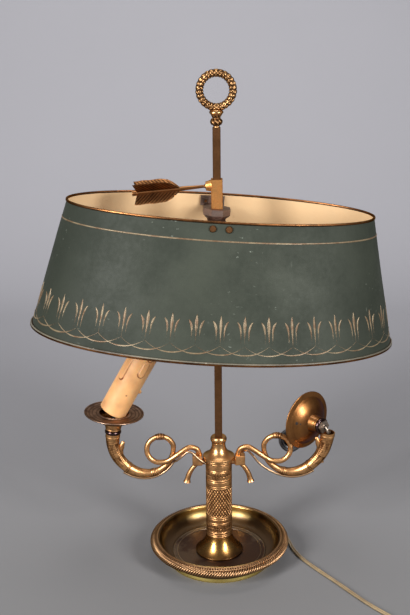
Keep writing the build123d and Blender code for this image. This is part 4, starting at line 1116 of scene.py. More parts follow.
# ---------- column, rod and ring
@dataclass
class Stem:
    """The bell foot, the chased column, its cap, the square rod and the finial with its ring."""

    floor_level: float = 7.0
    bell_radius: float = 26.5
    bell_height: float = 21.4
    column_radius: float = 14.5
    column_foot: float = 28.4
    column_height: float = 92.0
    flange_radius: float = 17.6
    flange_thickness: float = 3.4
    cap_height: float = 26.6
    cap_neck: float = 7.6
    cap_bead: float = 9.0
    cap_bead_height: float = 6.4
    rod_head: float = 481.6
    ring_height: float = 518.1
    ring_outer: float = 20.6
    ring_tube: float = 4.05
    column_wall: float = 2.0
    steps: int = 360
    lattice_count: int = 26
    lattice_pitch: float = 5.4
    leaf_count: int = 24
    leaf_bands: tuple = ((7.6, 15.8), (71.6, 79.6))
    line_width: float = 0.32
    line_heights: tuple = (2.2, 4.4, 6.9, 16.4, 18.6, 23.2, 25.2, 61.3, 63.4, 68.8, 71.0, 80.2, 82.2, 88.2,
                           90.0)

    def bell(self) -> None:
        """The bell foot: a concave flare on a thin rim, turned, darkened towards its foot with painted shade."""
        r, level, column = self.bell_radius, self.floor_level, self.column_radius
        flare = arc((r, level + 1.8), (column + (r - column) * 0.36, level + self.bell_height * 0.48),
                    (column - 0.4, self.column_foot), 40)
        seat = level + 1.5 * GAP
        line = profile([(ROD_HOLE, seat), (r - 0.3, seat), (r, level + 0.5)], flare,
                       [(ROD_HOLE, self.column_foot)])
        line = softened(line, 0.4, 4)
        # painted shade: relief falls towards the foot, where the bell meets the dish
        high = np.clip((line[:, 1:] - level) / 11.0, 0.1, 1)
        make("bell_foot_turned", [lathe(line, 128, relief=high)], [Finish.POLISHED_BRASS], "bell_foot")

    def chasing(self, height: Array, share: Array) -> tuple[Array, Array]:
        """Depth and relief of the column's chasing at a height above its foot and a share of its turn.

        The lattice is two families of sloping grooves, its depth the nearer groove's. The leaf
        bands are rows of lobes made of waves along the turn whose width closes upwards. The plain
        bands have fine turned lines.

        Args:
            height: millimetres above the column's foot, rows by 1.
            share: 0 to 1 round the column, 1 by columns.

        Returns:
            How far the surface sinks, in millimetres, and its relief from 0 to 1.
        """

        def band(low: float, high: float, edge: float = 0.35) -> Array:
            """1 between two heights and 0 outside them."""
            return past(height, low, edge) * past(high, height, edge)

        across, rise = share * self.lattice_count, height / self.lattice_pitch
        lattice = past(np.maximum(zigzag(across + rise), zigzag(across - rise)), 0.42, 0.5) * band(26.2, 60.4)
        leaves = lines = np.zeros_like(lattice)
        for low, high in self.leaf_bands:
            t = past(height, low, high - low)
            lobe = zigzag(share * self.leaf_count + 0.5 * (t > 0.5))
            width = np.sqrt(held(1 - (2 * ((t * 2) % 1.0) - 1) ** 2))
            curl = 0.5 + 0.5 * np.cos(2 * pi * (share * 2 * self.leaf_count + 2.2 * t))
            leaf = past(lobe, width * 0.82, 0.12)
            leaves = leaves + held(leaf * 0.9 + 0.5 * hump(lobe, 0.16) + 0.35 * curl) * band(low, high)
        for level in self.line_heights:
            lines = np.maximum(lines, hump(height - level, self.line_width))
        lines = np.maximum(lines, 0.35 * (0.5 + 0.5 * np.cos(height * 2 * pi / 0.9)) * band(82.6, 88.0))
        sink = 0.85 * lattice + 0.5 * leaves + 0.5 * lines
        return sink, held(1.1 - 2.0 * lattice**1.5 - 1.2 * leaves - 0.9 * lines)

    def column(self) -> None:
        """The column: a tube whose outside is chased in bands."""
        count, foot, bore = 260, self.column_foot, self.column_radius - self.column_wall
        rows = np.linspace(0.0, self.column_height, count)[:, None]
        share = np.arange(self.steps)[None] / self.steps
        sink, relief = self.chasing(rows, share)
        inner = np.zeros((2, self.steps))
        radius = np.vstack([self.column_radius - sink, inner + bore])
        height = np.vstack([foot + rows, [[foot + self.column_height], [foot]]])
        tube = Patch(turned(radius, share * 2 * pi, height), wrap_rows=True, relief=np.vstack([relief, inner]))
        make("chased_column", [tube], [Finish.COPPERY_BRASS], "column", sharp=75)

    def cap(self) -> None:
        """The cap: a flange with a lip, a concave neck with rings and a bead under the rod."""
        r, neck, head = self.flange_radius, self.cap_neck, self.column_foot + self.column_height
        top, flange_top = head + self.cap_height, head + self.flange_thickness
        seat, foot = head + 1.5 * GAP, top - self.cap_bead_height
        line = profile(
            [(0.0, seat), (r - 0.2, seat), (r, head + 0.9), (r - 0.45, head + 1.3), (r, head + 1.8),
             (r, flange_top)],
            arc((r - 1.6, flange_top + 0.7), (neck + 2.6, flange_top + 5.4), (neck, foot - 1.2), 30),
            [(neck + 0.1, foot - 0.4), (neck - 0.35, foot - 0.15)],
            arc((neck, foot), (self.cap_bead, (foot + top) / 2), (neck, top), 14), [(0.0, top)])
        cap = lathe(rounded(line, reach=0.35, steps=4), 128, closed=False)
        make("cap_turned", [cap], [Finish.AGED_BRASS], "column_cap")

    def finial(self) -> None:
        """The baluster: a knop, a waist and a collar, cast with small leaves round them."""
        base, saddle = self.rod_head, self.ring_height - self.ring_outer + 1.0
        line = profile([(0.0, base + GAP), (3.6, base + GAP)],
                       arc((3.1, base + 1.6), (6.2, base + 4.6), (4.5, base + 9.0), 18),
                       arc((4.5, base + 9.0), (4.9, base + 11.2), (6.5, base + 13.8), 10)[1:],
                       [(7.1, base + 14.4), (7.1, saddle - 1.4), (5.5, saddle + 0.6), (0.0, saddle + 0.6)])
        line = rounded(line, reach=0.5, steps=4)
        up = line[:, 1:] - base
        leaf = waves(np.arange(120)[None] / 120 + 0.02 * up, 8) * held(up / 3) * past(13.5, up, 3)
        cut = hump(up - 10.0, 0.5) + hump(up - 2.2, 0.4)
        sink, high = 0.55 * leaf + 0.35 * cut, held(1 - 1.3 * leaf - cut)
        body = lathe(line, 120, closed=False, offset=-sink, relief=high)
        make("finial_cast", [body], [Finish.AGED_BRASS], "finial_baluster", sharp=60)

    def ring(self) -> None:
        """The ring: a torus modelled as a wreath, leaves leaning up from both sides of the foot.

        Round the ring the tube swells and sinks with overlapping scales: a saw wave along the ring
        whose phase leads at the middle of the tube's face, so that each scale ends in a point.
        """
        share, around = np.arange(600)[:, None] / 600, np.arange(60)[None] / 60
        turn = share * 2 * pi - pi / 2
        side = np.where(share < 0.5, share, 1 - share)
        face = zigzag(around * 5 + 0.25 * np.sin(side * 70))
        saw = (side * 27 + 0.5 * face + 0.12 * ripple(share, around, 21)) % 1.0
        scale = np.sin(pi * saw**1.5) ** 0.8
        vein = hump(face, 0.16) + hump(face - 1, 0.2)
        radius = self.ring_tube - (0.75 * (1 - scale) + 0.3 * vein)
        out = self.ring_outer - self.ring_tube + radius * np.cos(around * 2 * pi)
        points = np.stack([out * np.cos(turn), radius * np.sin(around * 2 * pi),
                           self.ring_height + out * np.sin(turn)], -1)
        wreath = Patch(points, wrap_rows=True, relief=held(scale * 1.3 - 0.25 - 0.7 * vein))
        make("wreath_ring", [wreath], [Finish.AGED_BRASS], "finial_ring", sharp=80)

    def build(self) -> None:
        """Every part of the stem."""
        self.bell()
        self.column()
        self.cap()
        self.finial()
        self.ring()
        dress_node(Finish.ROD_BRASS, "square_rod")


class Side(Enum):
    """The two arms, by the side of the column that they stand on."""

    LEFT = -1
    RIGHT = 1


@dataclass
class Sided:
    """Something that stands on one side of the column, whose pieces carry the side's name."""

    side: Side

    def make(self, name: str, patches: Sequence[Patch], finish: Finish, *nodes: str, sharp: float = 40.0) -> None:
        """A finished piece on the stand; piece and nodes are named without their side."""
        word = self.side.name.lower()
        make(f"{word}_{name}", patches, [finish], *(f"{word}_{node}" for node in nodes), sharp=sharp)


# ---------- arms
@dataclass
class HornArm(Sided):
    """One arm: a lug, a thin tube round its loop, the horn with its leaf, a wire tube, a mouthpiece."""

    lug_inner: float = 17.9
    lug_size: float = 11.0
    lug_height: float = 119.0
    tube: float = 2.85
    loop_radius: float = 14.5
    loop_x: float = 64.3
    loop_z: float = 131.8
    crossing: float = 3.1
    inner_radius: float = 29.7
    inner_turn: float = 118.0
    radii: tuple = (2.6, 3.0, 3.5, 4.5, 5.4, 6.1, 6.8, 7.2, 8.0)
    rings: tuple = ((0.335, 1.3, 0.55), (0.352, 0.8, 0.3), (0.318, 0.8, 0.3), (0.30, 0.5, 0.2),
                    (0.60, 0.9, 0.5), (0.615, 0.5, 0.25), (0.965, 0.9, 0.3))
    lines: tuple = (0.308, 0.326, 0.3435, 0.361, 0.59, 0.6075)
    leafy: tuple[float, float] = (0.625, 0.955)
    lobes: int = 7
    flutes: int = 14
    collar: tuple = (-13.0, -4.5, 4.5, 13.0)
    wire: float = 1.25
    bore: float = 6.7
    bore_depth: float = 3.5

    def __post_init__(self) -> None:
        """Work out what differs from side to side, and the horn's line: two arcs and a short straight."""
        self.left = self.side is Side.LEFT
        outer, lean, straight = (42.5, 5.0, 4.9) if self.left else (48.0, -6.0, 7.5)
        self.lug_middle = self.lug_inner + self.lug_size / 2
        self.start_x = self.loop_x - self.loop_radius
        join, inner, lowest = radians(self.inner_turn - 90), self.inner_radius, self.start_x + self.inner_radius
        centre = np.array((lowest + (inner - outer) * sin(join), self.loop_z + (outer - inner) * cos(join)))
        first = radians(180) + np.linspace(0.0, radians(self.inner_turn), 60)
        second = np.linspace(join - pi / 2, radians(lean), 60)[1:]
        near = (lowest, self.loop_z) + inner * circle(first)
        far = centre + outer * circle(second)
        out = radians(90 + lean)
        end = far[-1] + straight * np.array((cos(out), sin(out)))
        reach = centre[0] + outer - self.start_x
        self.along = unit(np.array((self.side.value * reach, -self.crossing, 0.0)))
        self.normal = unit(np.cross(self.along, UP))
        self.line = self.in_plane(np.vstack([near, far, np.linspace(far[-1], end, 8)[1:]]))

    def in_plane(self, flat: Array) -> Array:
        """Points of the horn's own plane, as distance out and height, stood in space."""
        origin = np.array((self.side.value * self.start_x, self.crossing, 0.0))
        return origin + np.outer(flat[:, 0] - self.start_x, self.along) + np.outer(flat[:, 1], UP)

    def mouth(self) -> Place:
        """Where the horn ends: its centre, its axis and a direction across it."""
        return Place.of(self.line[-1], self.line[-1] - self.line[-2], (0, 1, 0))

    def horn(self) -> None:
        """The horn: a tube that widens along its line, with turned rings and a chased leaf round the bell.

        Radius is the smooth run of the sizes along the horn, plus rings, less flutes that lean
        together towards the mouth; the last rings run back inside the mouth, where painted shade darkens them.
        """
        steps, total = 72, lengths(self.line)[-1]
        row, around = np.linspace(0.0, 1.0, 300)[:, None], np.arange(steps)[None] / steps
        sizes = rounded(np.column_stack([np.linspace(0, 1, len(self.radii)), self.radii]), share=0.5, steps=12)
        radius = np.interp(row, sizes[:, 0], sizes[:, 1])
        ring = sum(tall * hump((row - at) * total, width) for at, width, tall in self.rings)
        first, last = self.leafy
        leafy = past(row, first, 0.03) * past(last, row, 0.02)
        t = past(row, first, last - first) * 2.4
        lobes = zigzag(around * self.lobes + 0.5 * (t // 1 % 2))
        cut = held((lobes - np.sqrt(held(1 - (t % 1.0) ** 2)) * 0.85) / 0.15)
        flute = 0.5 * waves(around, self.flutes) * past(row, 0.80, 0.06)
        flute = flute + 0.3 * waves(row * 46 + around * 3, 1.0)
        sink = leafy * np.clip(0.75 * cut + hump(lobes, 0.12) * 0.6 + flute, 0, 1.2)
        lines = sum(hump((row - at) * total, 0.45) for at in self.lines)
        deep = total - self.bore_depth
        stations = np.concatenate([[0.0], row[:, 0] * total, [total, deep, deep]])
        inside = np.repeat(np.array([[self.bore + 0.5], [self.bore], [0.0]]), steps, 1)
        rows = np.concatenate([np.zeros((1, steps)), radius + ring - 0.5 * sink + 0.02, inside])
        bright = np.ones((1, steps))
        # painted shade: the rings back inside the mouth get relief 0, which darkens the bore
        relief = np.vstack([bright, held(1.05 - 0.75 * sink - 0.8 * lines), bright, np.zeros((2, steps))])
        horn = pipe(self.line, stations, rows[:, 0], self.normal, steps, offset=rows - rows[:, :1], relief=relief)
        self.make("hunting_horn", [horn, self.leaf()], Finish.COPPERY_BRASS, "horn", sharp=55)

    def leaf(self) -> Patch:
        """The cast leaf that stands off the bell's inner side: a tapering tongue with a curled tip.

        The tongue is a flattened tube along a short curve: its width falls to a point and its
        section is a thin ellipse with a ridge.
        """
        out, up = (0.0, 0.0) if self.left else (2.6, 3.0)
        root, count = self.loop_x + 47.0 + out, 40
        spine = [(root - 1.6, 113.0), (root - 2.0, 122.0), (root - 3.0, 130.0 + up), (root - 4.8, 136.5 + up),
                 (root - 7.6, 141.6 + up)]
        path = self.in_plane(resample(rounded(spine, share=0.5, steps=10), count))
        share = np.linspace(0.0, 1.0, count)
        wide = 3.6 * np.sqrt(held(1 - share**5)) + 0.25
        wide[[0, -1]] = 0.0
        angle = ring_angles(24)
        edge, notch = np.abs(np.sin(angle))[None], waves(share[:, None], 4)
        section = np.stack([np.sin(angle), 0.62 * np.cos(angle) * (1 - 0.35 * edge[0])], 1)
        return pipe(path, np.linspace(0, lengths(path)[-1], count), wide, self.normal, 24,
                    offset=-0.16 * notch * edge**3 * wide[:, None], section=section,
                    relief=held(1.15 - 0.7 * notch * edge))

    def loop(self) -> None:
        """The thin tube: up out of the lug, over a hump, once round the loop and down to the horn.

        A collar of four rings sits on top of the loop.
        """
        s, lug, lug_top = self.side.value, self.lug_middle, self.lug_height + self.lug_size / 2
        x, z, r, aside, count = self.loop_x, self.loop_z, self.loop_radius, self.crossing, 240
        turn = np.radians(np.linspace(285.0, 525.0, 9))
        wide = r / cos(radians(15))
        ring = np.column_stack([x + wide * np.cos(turn), np.linspace(-aside, aside, 9), z + wide * np.sin(turn)])
        corners = np.vstack([
            [(lug - 2.3, 0.0, lug_top - 0.4), (lug - 0.2, -0.6, lug_top + 7.6), (lug + 8.4, -1.6, lug_top + 10.8),
             (lug + 16.4, -aside, lug_top + 6.0), (x - 16.6, -aside, z - 7.4), (x - 7.0, -aside, z - r + 0.5)],
            ring, [(x - r, aside, z - 0.4)]]) * (s, 1, 1)
        path = resample(rounded(corners, steps=14), count)
        total = lengths(path)[-1]
        stations = np.linspace(0.0, total, count)
        on_loop = stations / total > 0.42
        away = (np.arctan2(path[:, 2] - z, s * path[:, 0] - x) - pi / 2) * r
        radius = self.tube + on_loop * (np.abs(away) < 2.4) * 0.35
        for lean in self.collar:
            radius = radius + on_loop * 0.6 * hump(away - radians(lean) * r, 0.9)
        collar = np.abs(away)
        relief = 1 - on_loop * held((5.4 - collar) / 0.6) * (0.3 + 0.5 * waves(collar, 0.42))
        stations[1], stations[-2] = 0.02, total - 0.02
        radius[[0, -1]], radius[[1, -2]] = 0.0, self.tube
        tube = pipe(path, stations, radius, steps=22, relief=relief[:, None])
        self.make("loop", [tube], Finish.COPPERY_BRASS, "loop_tube")

    def wire_tube(self) -> None:
        """The slender wire tube: out of the column, beside the lug, then along the horn's underside."""
        s, lug, level = self.side.value, self.lug_middle, self.lug_height
        out = s * (self.lug_size / 2 + self.wire + 0.05)
        if self.left:
            bow, corners = 0.0, [
                (13.9, out, level - 2.2), (lug - 2.4, out, level + 2.4), (lug + 4.2, out, level + 10.0),
                (lug + 10.0, out + 0.8, level + 12.7), (lug + 17.6, out + 1.1, level + 5.8),
                (self.loop_x - 17.1, -1.5, level - 1.4)]
        else:
            bow, corners = 6.0, [
                (13.9, out, level - 2.6), (lug - 3.2, out, level - 0.6), (lug + 3.8, out, level + 6.6),
                (lug + 8.6, out - 1.6, level + 8.2), (lug + 15.3, 3.4, level + 1.3)]
        run = lengths(self.line)
        share = np.linspace(0.12, 0.6, 7)
        at, ahead = (np.stack([np.interp(share * run[-1], run, field[:, k]) for k in range(3)], 1)
                     for field in (self.line, unit(np.gradient(self.line, run, axis=0))))
        apart = np.interp(share, np.linspace(0, 1, len(self.radii)), self.radii) + self.wire + 0.6
        apart = apart + bow * held(1 - np.arange(7) / 3) ** 2
        under = at + np.cross(ahead, self.normal) * apart[:, None]
        tube = smooth_tube(np.vstack([np.array(corners) * (s, 1, 1), under]), self.wire, 140, 16)
        self.make("conduit", [tube], Finish.BRIGHT_BRASS, "wire_tube")

    def mouthpiece(self) -> None:
        """The little mouthpiece under the lug: a curved pipe that opens into a lip, darkened inside with painted
        shade.
        """
        base, lug = self.lug_height - self.lug_size / 2, self.lug_middle
        line = arc((lug + 1.0, base), (lug + 8.0, base - 9.0), (lug + 11.2, base - 18.0), 30)
        path = np.column_stack([self.side.value * line[:, 0], np.zeros(30), line[:, 1]])
        path = np.vstack([path, path[-1] + unit(path[-1] - path[-2]) * np.array(((1.2,), (2.4,), (3.5,)))])
        back = np.array((3.9, 3.2, 2.2, 1.2, 0.4, 0.02, 0.02, 0.8, 2.5, 5.0, 7.0, 7.0))
        steps = np.concatenate([(0.0, 0.03, 2, 5, 9, 13, 16), lengths(path)[-1] - back])
        sizes = (0.0, 2.4, 2.4, 2.45, 2.6, 2.75, 2.9, 3.0, 3.1, 3.3, 3.6, 4.0, 4.15, 3.4, 2.8, 2.1, 1.6, 1.5, 0.0)
        # painted shade: the rings that run back inside the lip get low relief, which darkens them
        dark = np.where(np.arange(len(sizes)) > 14, 0.1, 1.0)[:, None]
        self.make("mouthpiece_lip", [pipe(path, steps, sizes, steps=26, relief=dark)], Finish.COPPERY_BRASS,
                  "mouthpiece")

    def build(self) -> None:
        """Every part of the arm."""
        self.horn()
        self.loop()
        self.wire_tube()
        self.mouthpiece()
        dress_node(Finish.LUG_BRASS, f"{self.side.name.lower()}_lug")


# ---------- candle fittings
@dataclass
class CandleFitting(Sided):
    """A fitting: a dark bead, a turned cup, a drip pan, a nipple and a black lampholder."""

    place: Place
    bead_radius: float = 9.0
    bead_height: float = 4.3
    neck: float = 8.0
    waist: float = 10.2
    waist_height: float = 9.0
    cup_radius: float = 27.0
    cup_height: float = 18.2
    wall: float = 1.1
    pan_radius: float = 32.4
    pan_hole: float = 16.0
    nipple: float = 4.45
    thread_pitch: float = 0.9
    holder_radius: float = 13.2
    holder_length: float = 38.0
    holder_bore: float = 7.2
    bore_depth: float = 24.0
    rib_pitch: float = 2.6
    stem_radius: float = 2.0

    def bead(self) -> None:
        """The dark glossy bead under the cup."""
        r, h = self.bead_radius, self.bead_height
        line = profile([(self.nipple, GAP), (r - 1.4, GAP)],
                       arc((r - 1.2, GAP), (r, h / 2), (r - 1.2, h - GAP)), [(self.nipple, h - GAP)])
        self.make("dark_bead", [lathe(line, 72, place=self.place)], Finish.DARK_BEAD, "collar_bead")

    def cup(self, finish: Finish) -> None:
        """The cup: a neck with turned lines that sweeps out into a wide bowl with a thin wall."""
        r, wall, top = self.cup_radius, self.wall, self.bead_height + self.cup_height
        foot = self.bead_height + GAP
        waist = foot + self.waist_height
        belly = (self.waist + (r - self.waist) * 0.62, waist + (top - waist) * 0.45)
        neck = np.linspace((self.neck, foot), (self.waist, waist), 26)
        up = neck[:, 1] - foot
        neck[:, 0] += 0.28 * hump(up - 1.0, 0.5) - 0.22 * hump(up - 2.2, 0.35)
        inner = arc((r - wall, top), (belly[0] - wall * 0.6, belly[1] + wall),
                    (self.waist - wall, waist + wall), 30)
        line = profile([(self.nipple, foot)], neck, arc((self.waist, waist), belly, (r, top), 60)[1:], inner,
                       [(self.neck - wall, foot + 2.0), (self.nipple, foot + 2.0)])
        out, level = softened(line, 0.3, 3).T[..., None]
        high = np.clip((out - self.waist) / 9.0, 0.45, 1) - 0.25 * hump(out - r + 2.0, 0.7)
        high = np.where(level < waist - 0.5, 0.8, high)
        cup = lathe(np.hstack([out, level]), 144, place=self.place, relief=high)
        self.make("turned_cup", [cup], finish, "candle_cup")

    def pan(self, finish: Finish) -> None:
        """The drip pan: a flat ring with a raised hole, turned grooves and a rolled edge."""
        r, hole, base = self.pan_radius, self.pan_hole, self.bead_height + self.cup_height + 0.05
        swell = np.linspace(r - 2.2, hole + 2.0, 30)
        face = np.stack([swell, base + 1.1 + 0.9 * past(swell, 27.0, 4.4) ** 1.5], 1)
        line = softened(profile(
            [(hole, base), (27.0, base)], arc((r - 1.0, base + 0.9), (r, base + 1.6), (r - 1.0, base + 2.3), 14),
            face, [(hole + 0.9, base + 1.8), (hole, base + 1.8)]), 0.25, 4)
        groove = sum(hump(line[:, :1] - at, 0.55) for at in (30.2, 27.0, 23.4, 19.2))
        groove = held(groove) * (line[:, 1:] > base + 0.9)
        pan = lathe(line, 160, place=self.place, offset=-0.12 * groove, relief=1 - 0.85 * groove)
        self.make("pan", [pan], finish, "drip_pan")

    def holder(self, socket: Place, stem: Sequence[Array]) -> None:
        """The black lampholder on its bent stem: ribbed barrel, stepped mouth and open bore."""
        r, bore, end = self.holder_radius, self.holder_bore, self.holder_length
        deep = end - self.bore_depth
        rows = np.linspace(7.0, end - 5.0, 60)
        ribs = r - 0.35 * (np.abs(np.sin((rows - 7.0) * pi / self.rib_pitch)) < 0.35)
        line = profile([(0.0, 0.0), (r - 2.0, 0.0), (r - 2.0, 6.0)], np.stack([ribs, rows], 1),
                       [(r - 0.2, end - 4.6), (r - 0.2, end - 0.6), (r - 0.9, end), (bore + 2.4, end),
                        (bore + 2.0, end - 1.6), (bore, end - 1.8), (bore, deep), (0.0, deep)])
        barrel = lathe(rounded(line, reach=0.35, steps=3), 72, closed=False, place=socket)
        tube = smooth_tube(stem, self.stem_radius, 60, 18)
        self.make("black_lampholder", [barrel, tube], Finish.BLACK_PHENOLIC, "lampholder")

    def hole(self, radius: float, height: float, turn: float, size: float) -> Patch:
        """A punched hole seen as a dark countersink: a thin lens set into the cup's skin.

        Args:
            radius: distance from the fitting's axis.
            height: height above its foot.
            turn: angle about its axis, in degrees.
            size: the hole's radius.

        Returns:
            The closed lens.
        """
        c, s = cos(radians(turn)), sin(radians(turn))
        out = unit(np.array((0.66 * c, 0.66 * s, -0.75)))
        across = unit(np.cross(out, UP))
        angle = ring_angles(16)[:, None]
        flat = across * np.cos(angle) + np.cross(out, across) * np.sin(angle)
        middle = np.array((radius * c, radius * s, height))
        steps = ((0.0, 0.14), (0.8, 0.12), (1.0, 0.0), (0.8, -0.3), (0.0, -0.35))
        return Patch(self.place.at(np.array([middle + size * scale * flat + out * rise for scale, rise in steps])))

    def nipple_tube(self, below: float, above: float) -> None:
        """The threaded tube that holds the fitting together, its thread a row of shallow rings."""
        rows = np.linspace(-below + 0.4, above - 0.4, 120)
        outer = np.stack([4.4 - 0.16 * (0.5 + 0.5 * np.cos(rows * 2 * pi / self.thread_pitch)), rows], 1)
        line = profile([(2.4, -below), (4.0, -below)], outer, [(4.0, above), (2.4, above)])
        self.make("threaded_tube", [lathe(line, 48, place=self.place)], Finish.TINNED_METAL, "nipple")

    def build(self, cup: Finish, pan: Finish, below: float, above: float) -> None:
        """Bead, cup, pan and the tube through them, which ends below and above the foot."""
        self.bead()
        self.cup(cup)
        self.pan(pan)
        self.nipple_tube(below, above)


@dataclass
class Candle:
    """The card sleeve that leans in the left fitting, dipped in wax, with its drips."""

    foot: Triple = (-114.4, 0.0, 178.4)
    lean: float = 29.5
    radius: float = 15.3
    bore: float = 13.6
    length: float = 100.0
    hole: tuple[float, float] = (192.0, 28.0)
    drips: tuple = ((40.0, 66.0, 130.0, 3.4), (52.5, 68.0, 203.0, 3.7), (73.0, 92.0, 207.0, 3.0),
                    (50.0, 70.0, 20.0, 3.2), (44.0, 66.0, 300.0, 2.8), (62.0, 88.0, 60.0, 3.0))

    def __post_init__(self) -> None:
        """Stand the sleeve's foot and axis."""
        slope = radians(self.lean)
        self.place = Place.of(self.foot, (sin(slope), 0, cos(slope)), (0, 1, 0))

    def around(self, angle: Array, turn: float) -> Array:
        """Distance round the skin from a direction in degrees."""
        return (np.mod(angle - radians(turn) + pi, 2 * pi) - pi) * self.radius

    def build(self) -> None:
        """The sleeve: a tube whose outside swells where wax ran down.

        A drip is a capsule on the unrolled surface: the skin rises inside it by a smooth step of the
        distance to its middle line, and its outline is darkened: stained wax with painted shade, strongest below
        the drip.
        """
        steps, r, end = 216, self.radius, self.length
        rows, angle = np.linspace(0.0, end, 240)[:, None], ring_angles(steps)[None]
        turn = angle / (2 * pi)
        rise = stain_and_shade = np.zeros((240, steps))
        for low, high, at, wide in self.drips:
            away = np.sqrt(self.around(angle, at) ** 2 + (rows - np.clip(rows, low + wide, high)) ** 2)
            fade = past(high + 4, rows, 8)
            rise = np.maximum(rise, fade * past(wide, away, 1.1) ** 0.6 * 1.4)
            below = np.clip((low + wide + 1.5 - rows) / 2.5, 0.25, 1)
            # stained wax with painted shade: the outline darkens most round the drip's lower end
            stain_and_shade = np.maximum(stain_and_shade, 1.9 * fade * below * hump(away - wide, 0.62))
        hole = np.sqrt(self.around(angle, self.hole[0]) ** 2 + (rows - self.hole[1]) ** 2)
        # the pinhole is a shallow dent whose dark spot is painted shade
        stain_and_shade = np.maximum(stain_and_shade, held(2.3 - hole / 0.5))
        rise = rise - 0.5 * held(1.4 - hole / 0.5)
        radius = np.clip(r - 0.35 + rise * 0.9 + 0.12 * ripple(rows / end, turn, 5), None, r + 0.8)
        radius = radius - 0.35 * (1 - held(np.minimum(rows, end - rows) / 0.5))
        streak = held(ripple(rows / 400, turn * 2, 9) * 1.4) * past(rows, 36, 50)
        stain_and_shade = np.maximum(stain_and_shade, 0.3 * streak + 0.12 * past(rows, 30, 60))
        inner = np.full((2, steps), self.bore)
        points = turned(np.vstack([radius, inner]), angle, np.vstack([rows, [[end], [0.0]]]))
        relief = np.vstack([held(1 - stain_and_shade), np.full((2, steps), 0.7)])
        sleeve = Patch(self.place.at(points), wrap_rows=True, relief=relief)
        make("waxed_candle_sleeve", [sleeve, self.drop()], [Finish.WAXED_CARD], "left_candle_sleeve",
             body="candle", sharp=60)

    def drop(self) -> Patch:
        """A set drop of wax on the sleeve's side: a small ball, a little longer than wide."""
        tilt, out, side = np.linspace(0, pi, 12)[:, None], 15.4, radians(258.0)
        ball = turned(np.sin(tilt), ring_angles(20)[None], 1.3 * np.cos(tilt)) * 1.75
        return Patch(self.place.at(ball + (out * cos(side), out * sin(side), 34.5)))


@dataclass
class Fittings:
    """Both candle fittings: the left one stands in its horn, the right one has come off."""

    left_arm: HornArm
    fallen_centre: Triple = (97.5, 10.6, 160.2)
    fallen_turn: float = 40.8
    rim_rise: float = 23.65
    hang_point: Triple = (79.3, 23.8, 128.7)
    hang_slope: Triple = (-0.51, -1.0, 0.14)

    def left(self) -> None:
        """The standing fitting and the candle that leans in it."""
        place = self.left_arm.mouth()
        fitting, candle = CandleFitting(Side.LEFT, place), Candle()
        sleeve = candle.place
        fitting.build(Finish.COPPERY_BRASS, Finish.BROWNED_BRASS, 8.0, 14.0)
        foot = sleeve.up(candle.length - fitting.holder_length - 4.0)
        stem = [place.up(14.35), place.up(26.0), sleeve.up(22.0), foot + sleeve.z * 1.0]
        fitting.holder(Place(foot, sleeve.x, sleeve.y, sleeve.z), stem)
        candle.build()

    def right(self) -> None:
        """The loose fitting, its nut and lead, and the lampholder that hangs behind it."""
        turn = radians(self.fallen_turn)
        facing = np.array((sin(turn), -cos(turn), 0.0))
        place = Place.of(np.array(self.fallen_centre) + facing * self.rim_rise, -facing, (cos(turn), sin(turn), 0))
        fitting = CandleFitting(Side.RIGHT, place)
        fitting.build(Finish.DOME_COPPER, Finish.DOME_COPPER, 3.6, 18.4)
        holes = [fitting.hole(22.2, 18.5, 190.0, 1.8), fitting.hole(18.4, 16.2, 188.0, 0.95)]
        fitting.make("punched_holes", holes, Finish.HOLE_SHADOW)
        hang = unit(np.array(self.hang_slope))
        foot = np.array(self.hang_point) - hang * fitting.holder_length
        stem = [place.up(18.75), place.up(30.4), foot - hang * 10.0 + np.array((0.0, -4.0, 26.0)),
                foot - hang * 13.0, foot + hang * 1.0]
        fitting.holder(Place.of(foot, hang, np.cross(BACK, hang)), stem)
        dress_node(Finish.TINNED_METAL, "right_lock_nut", "right_wires")


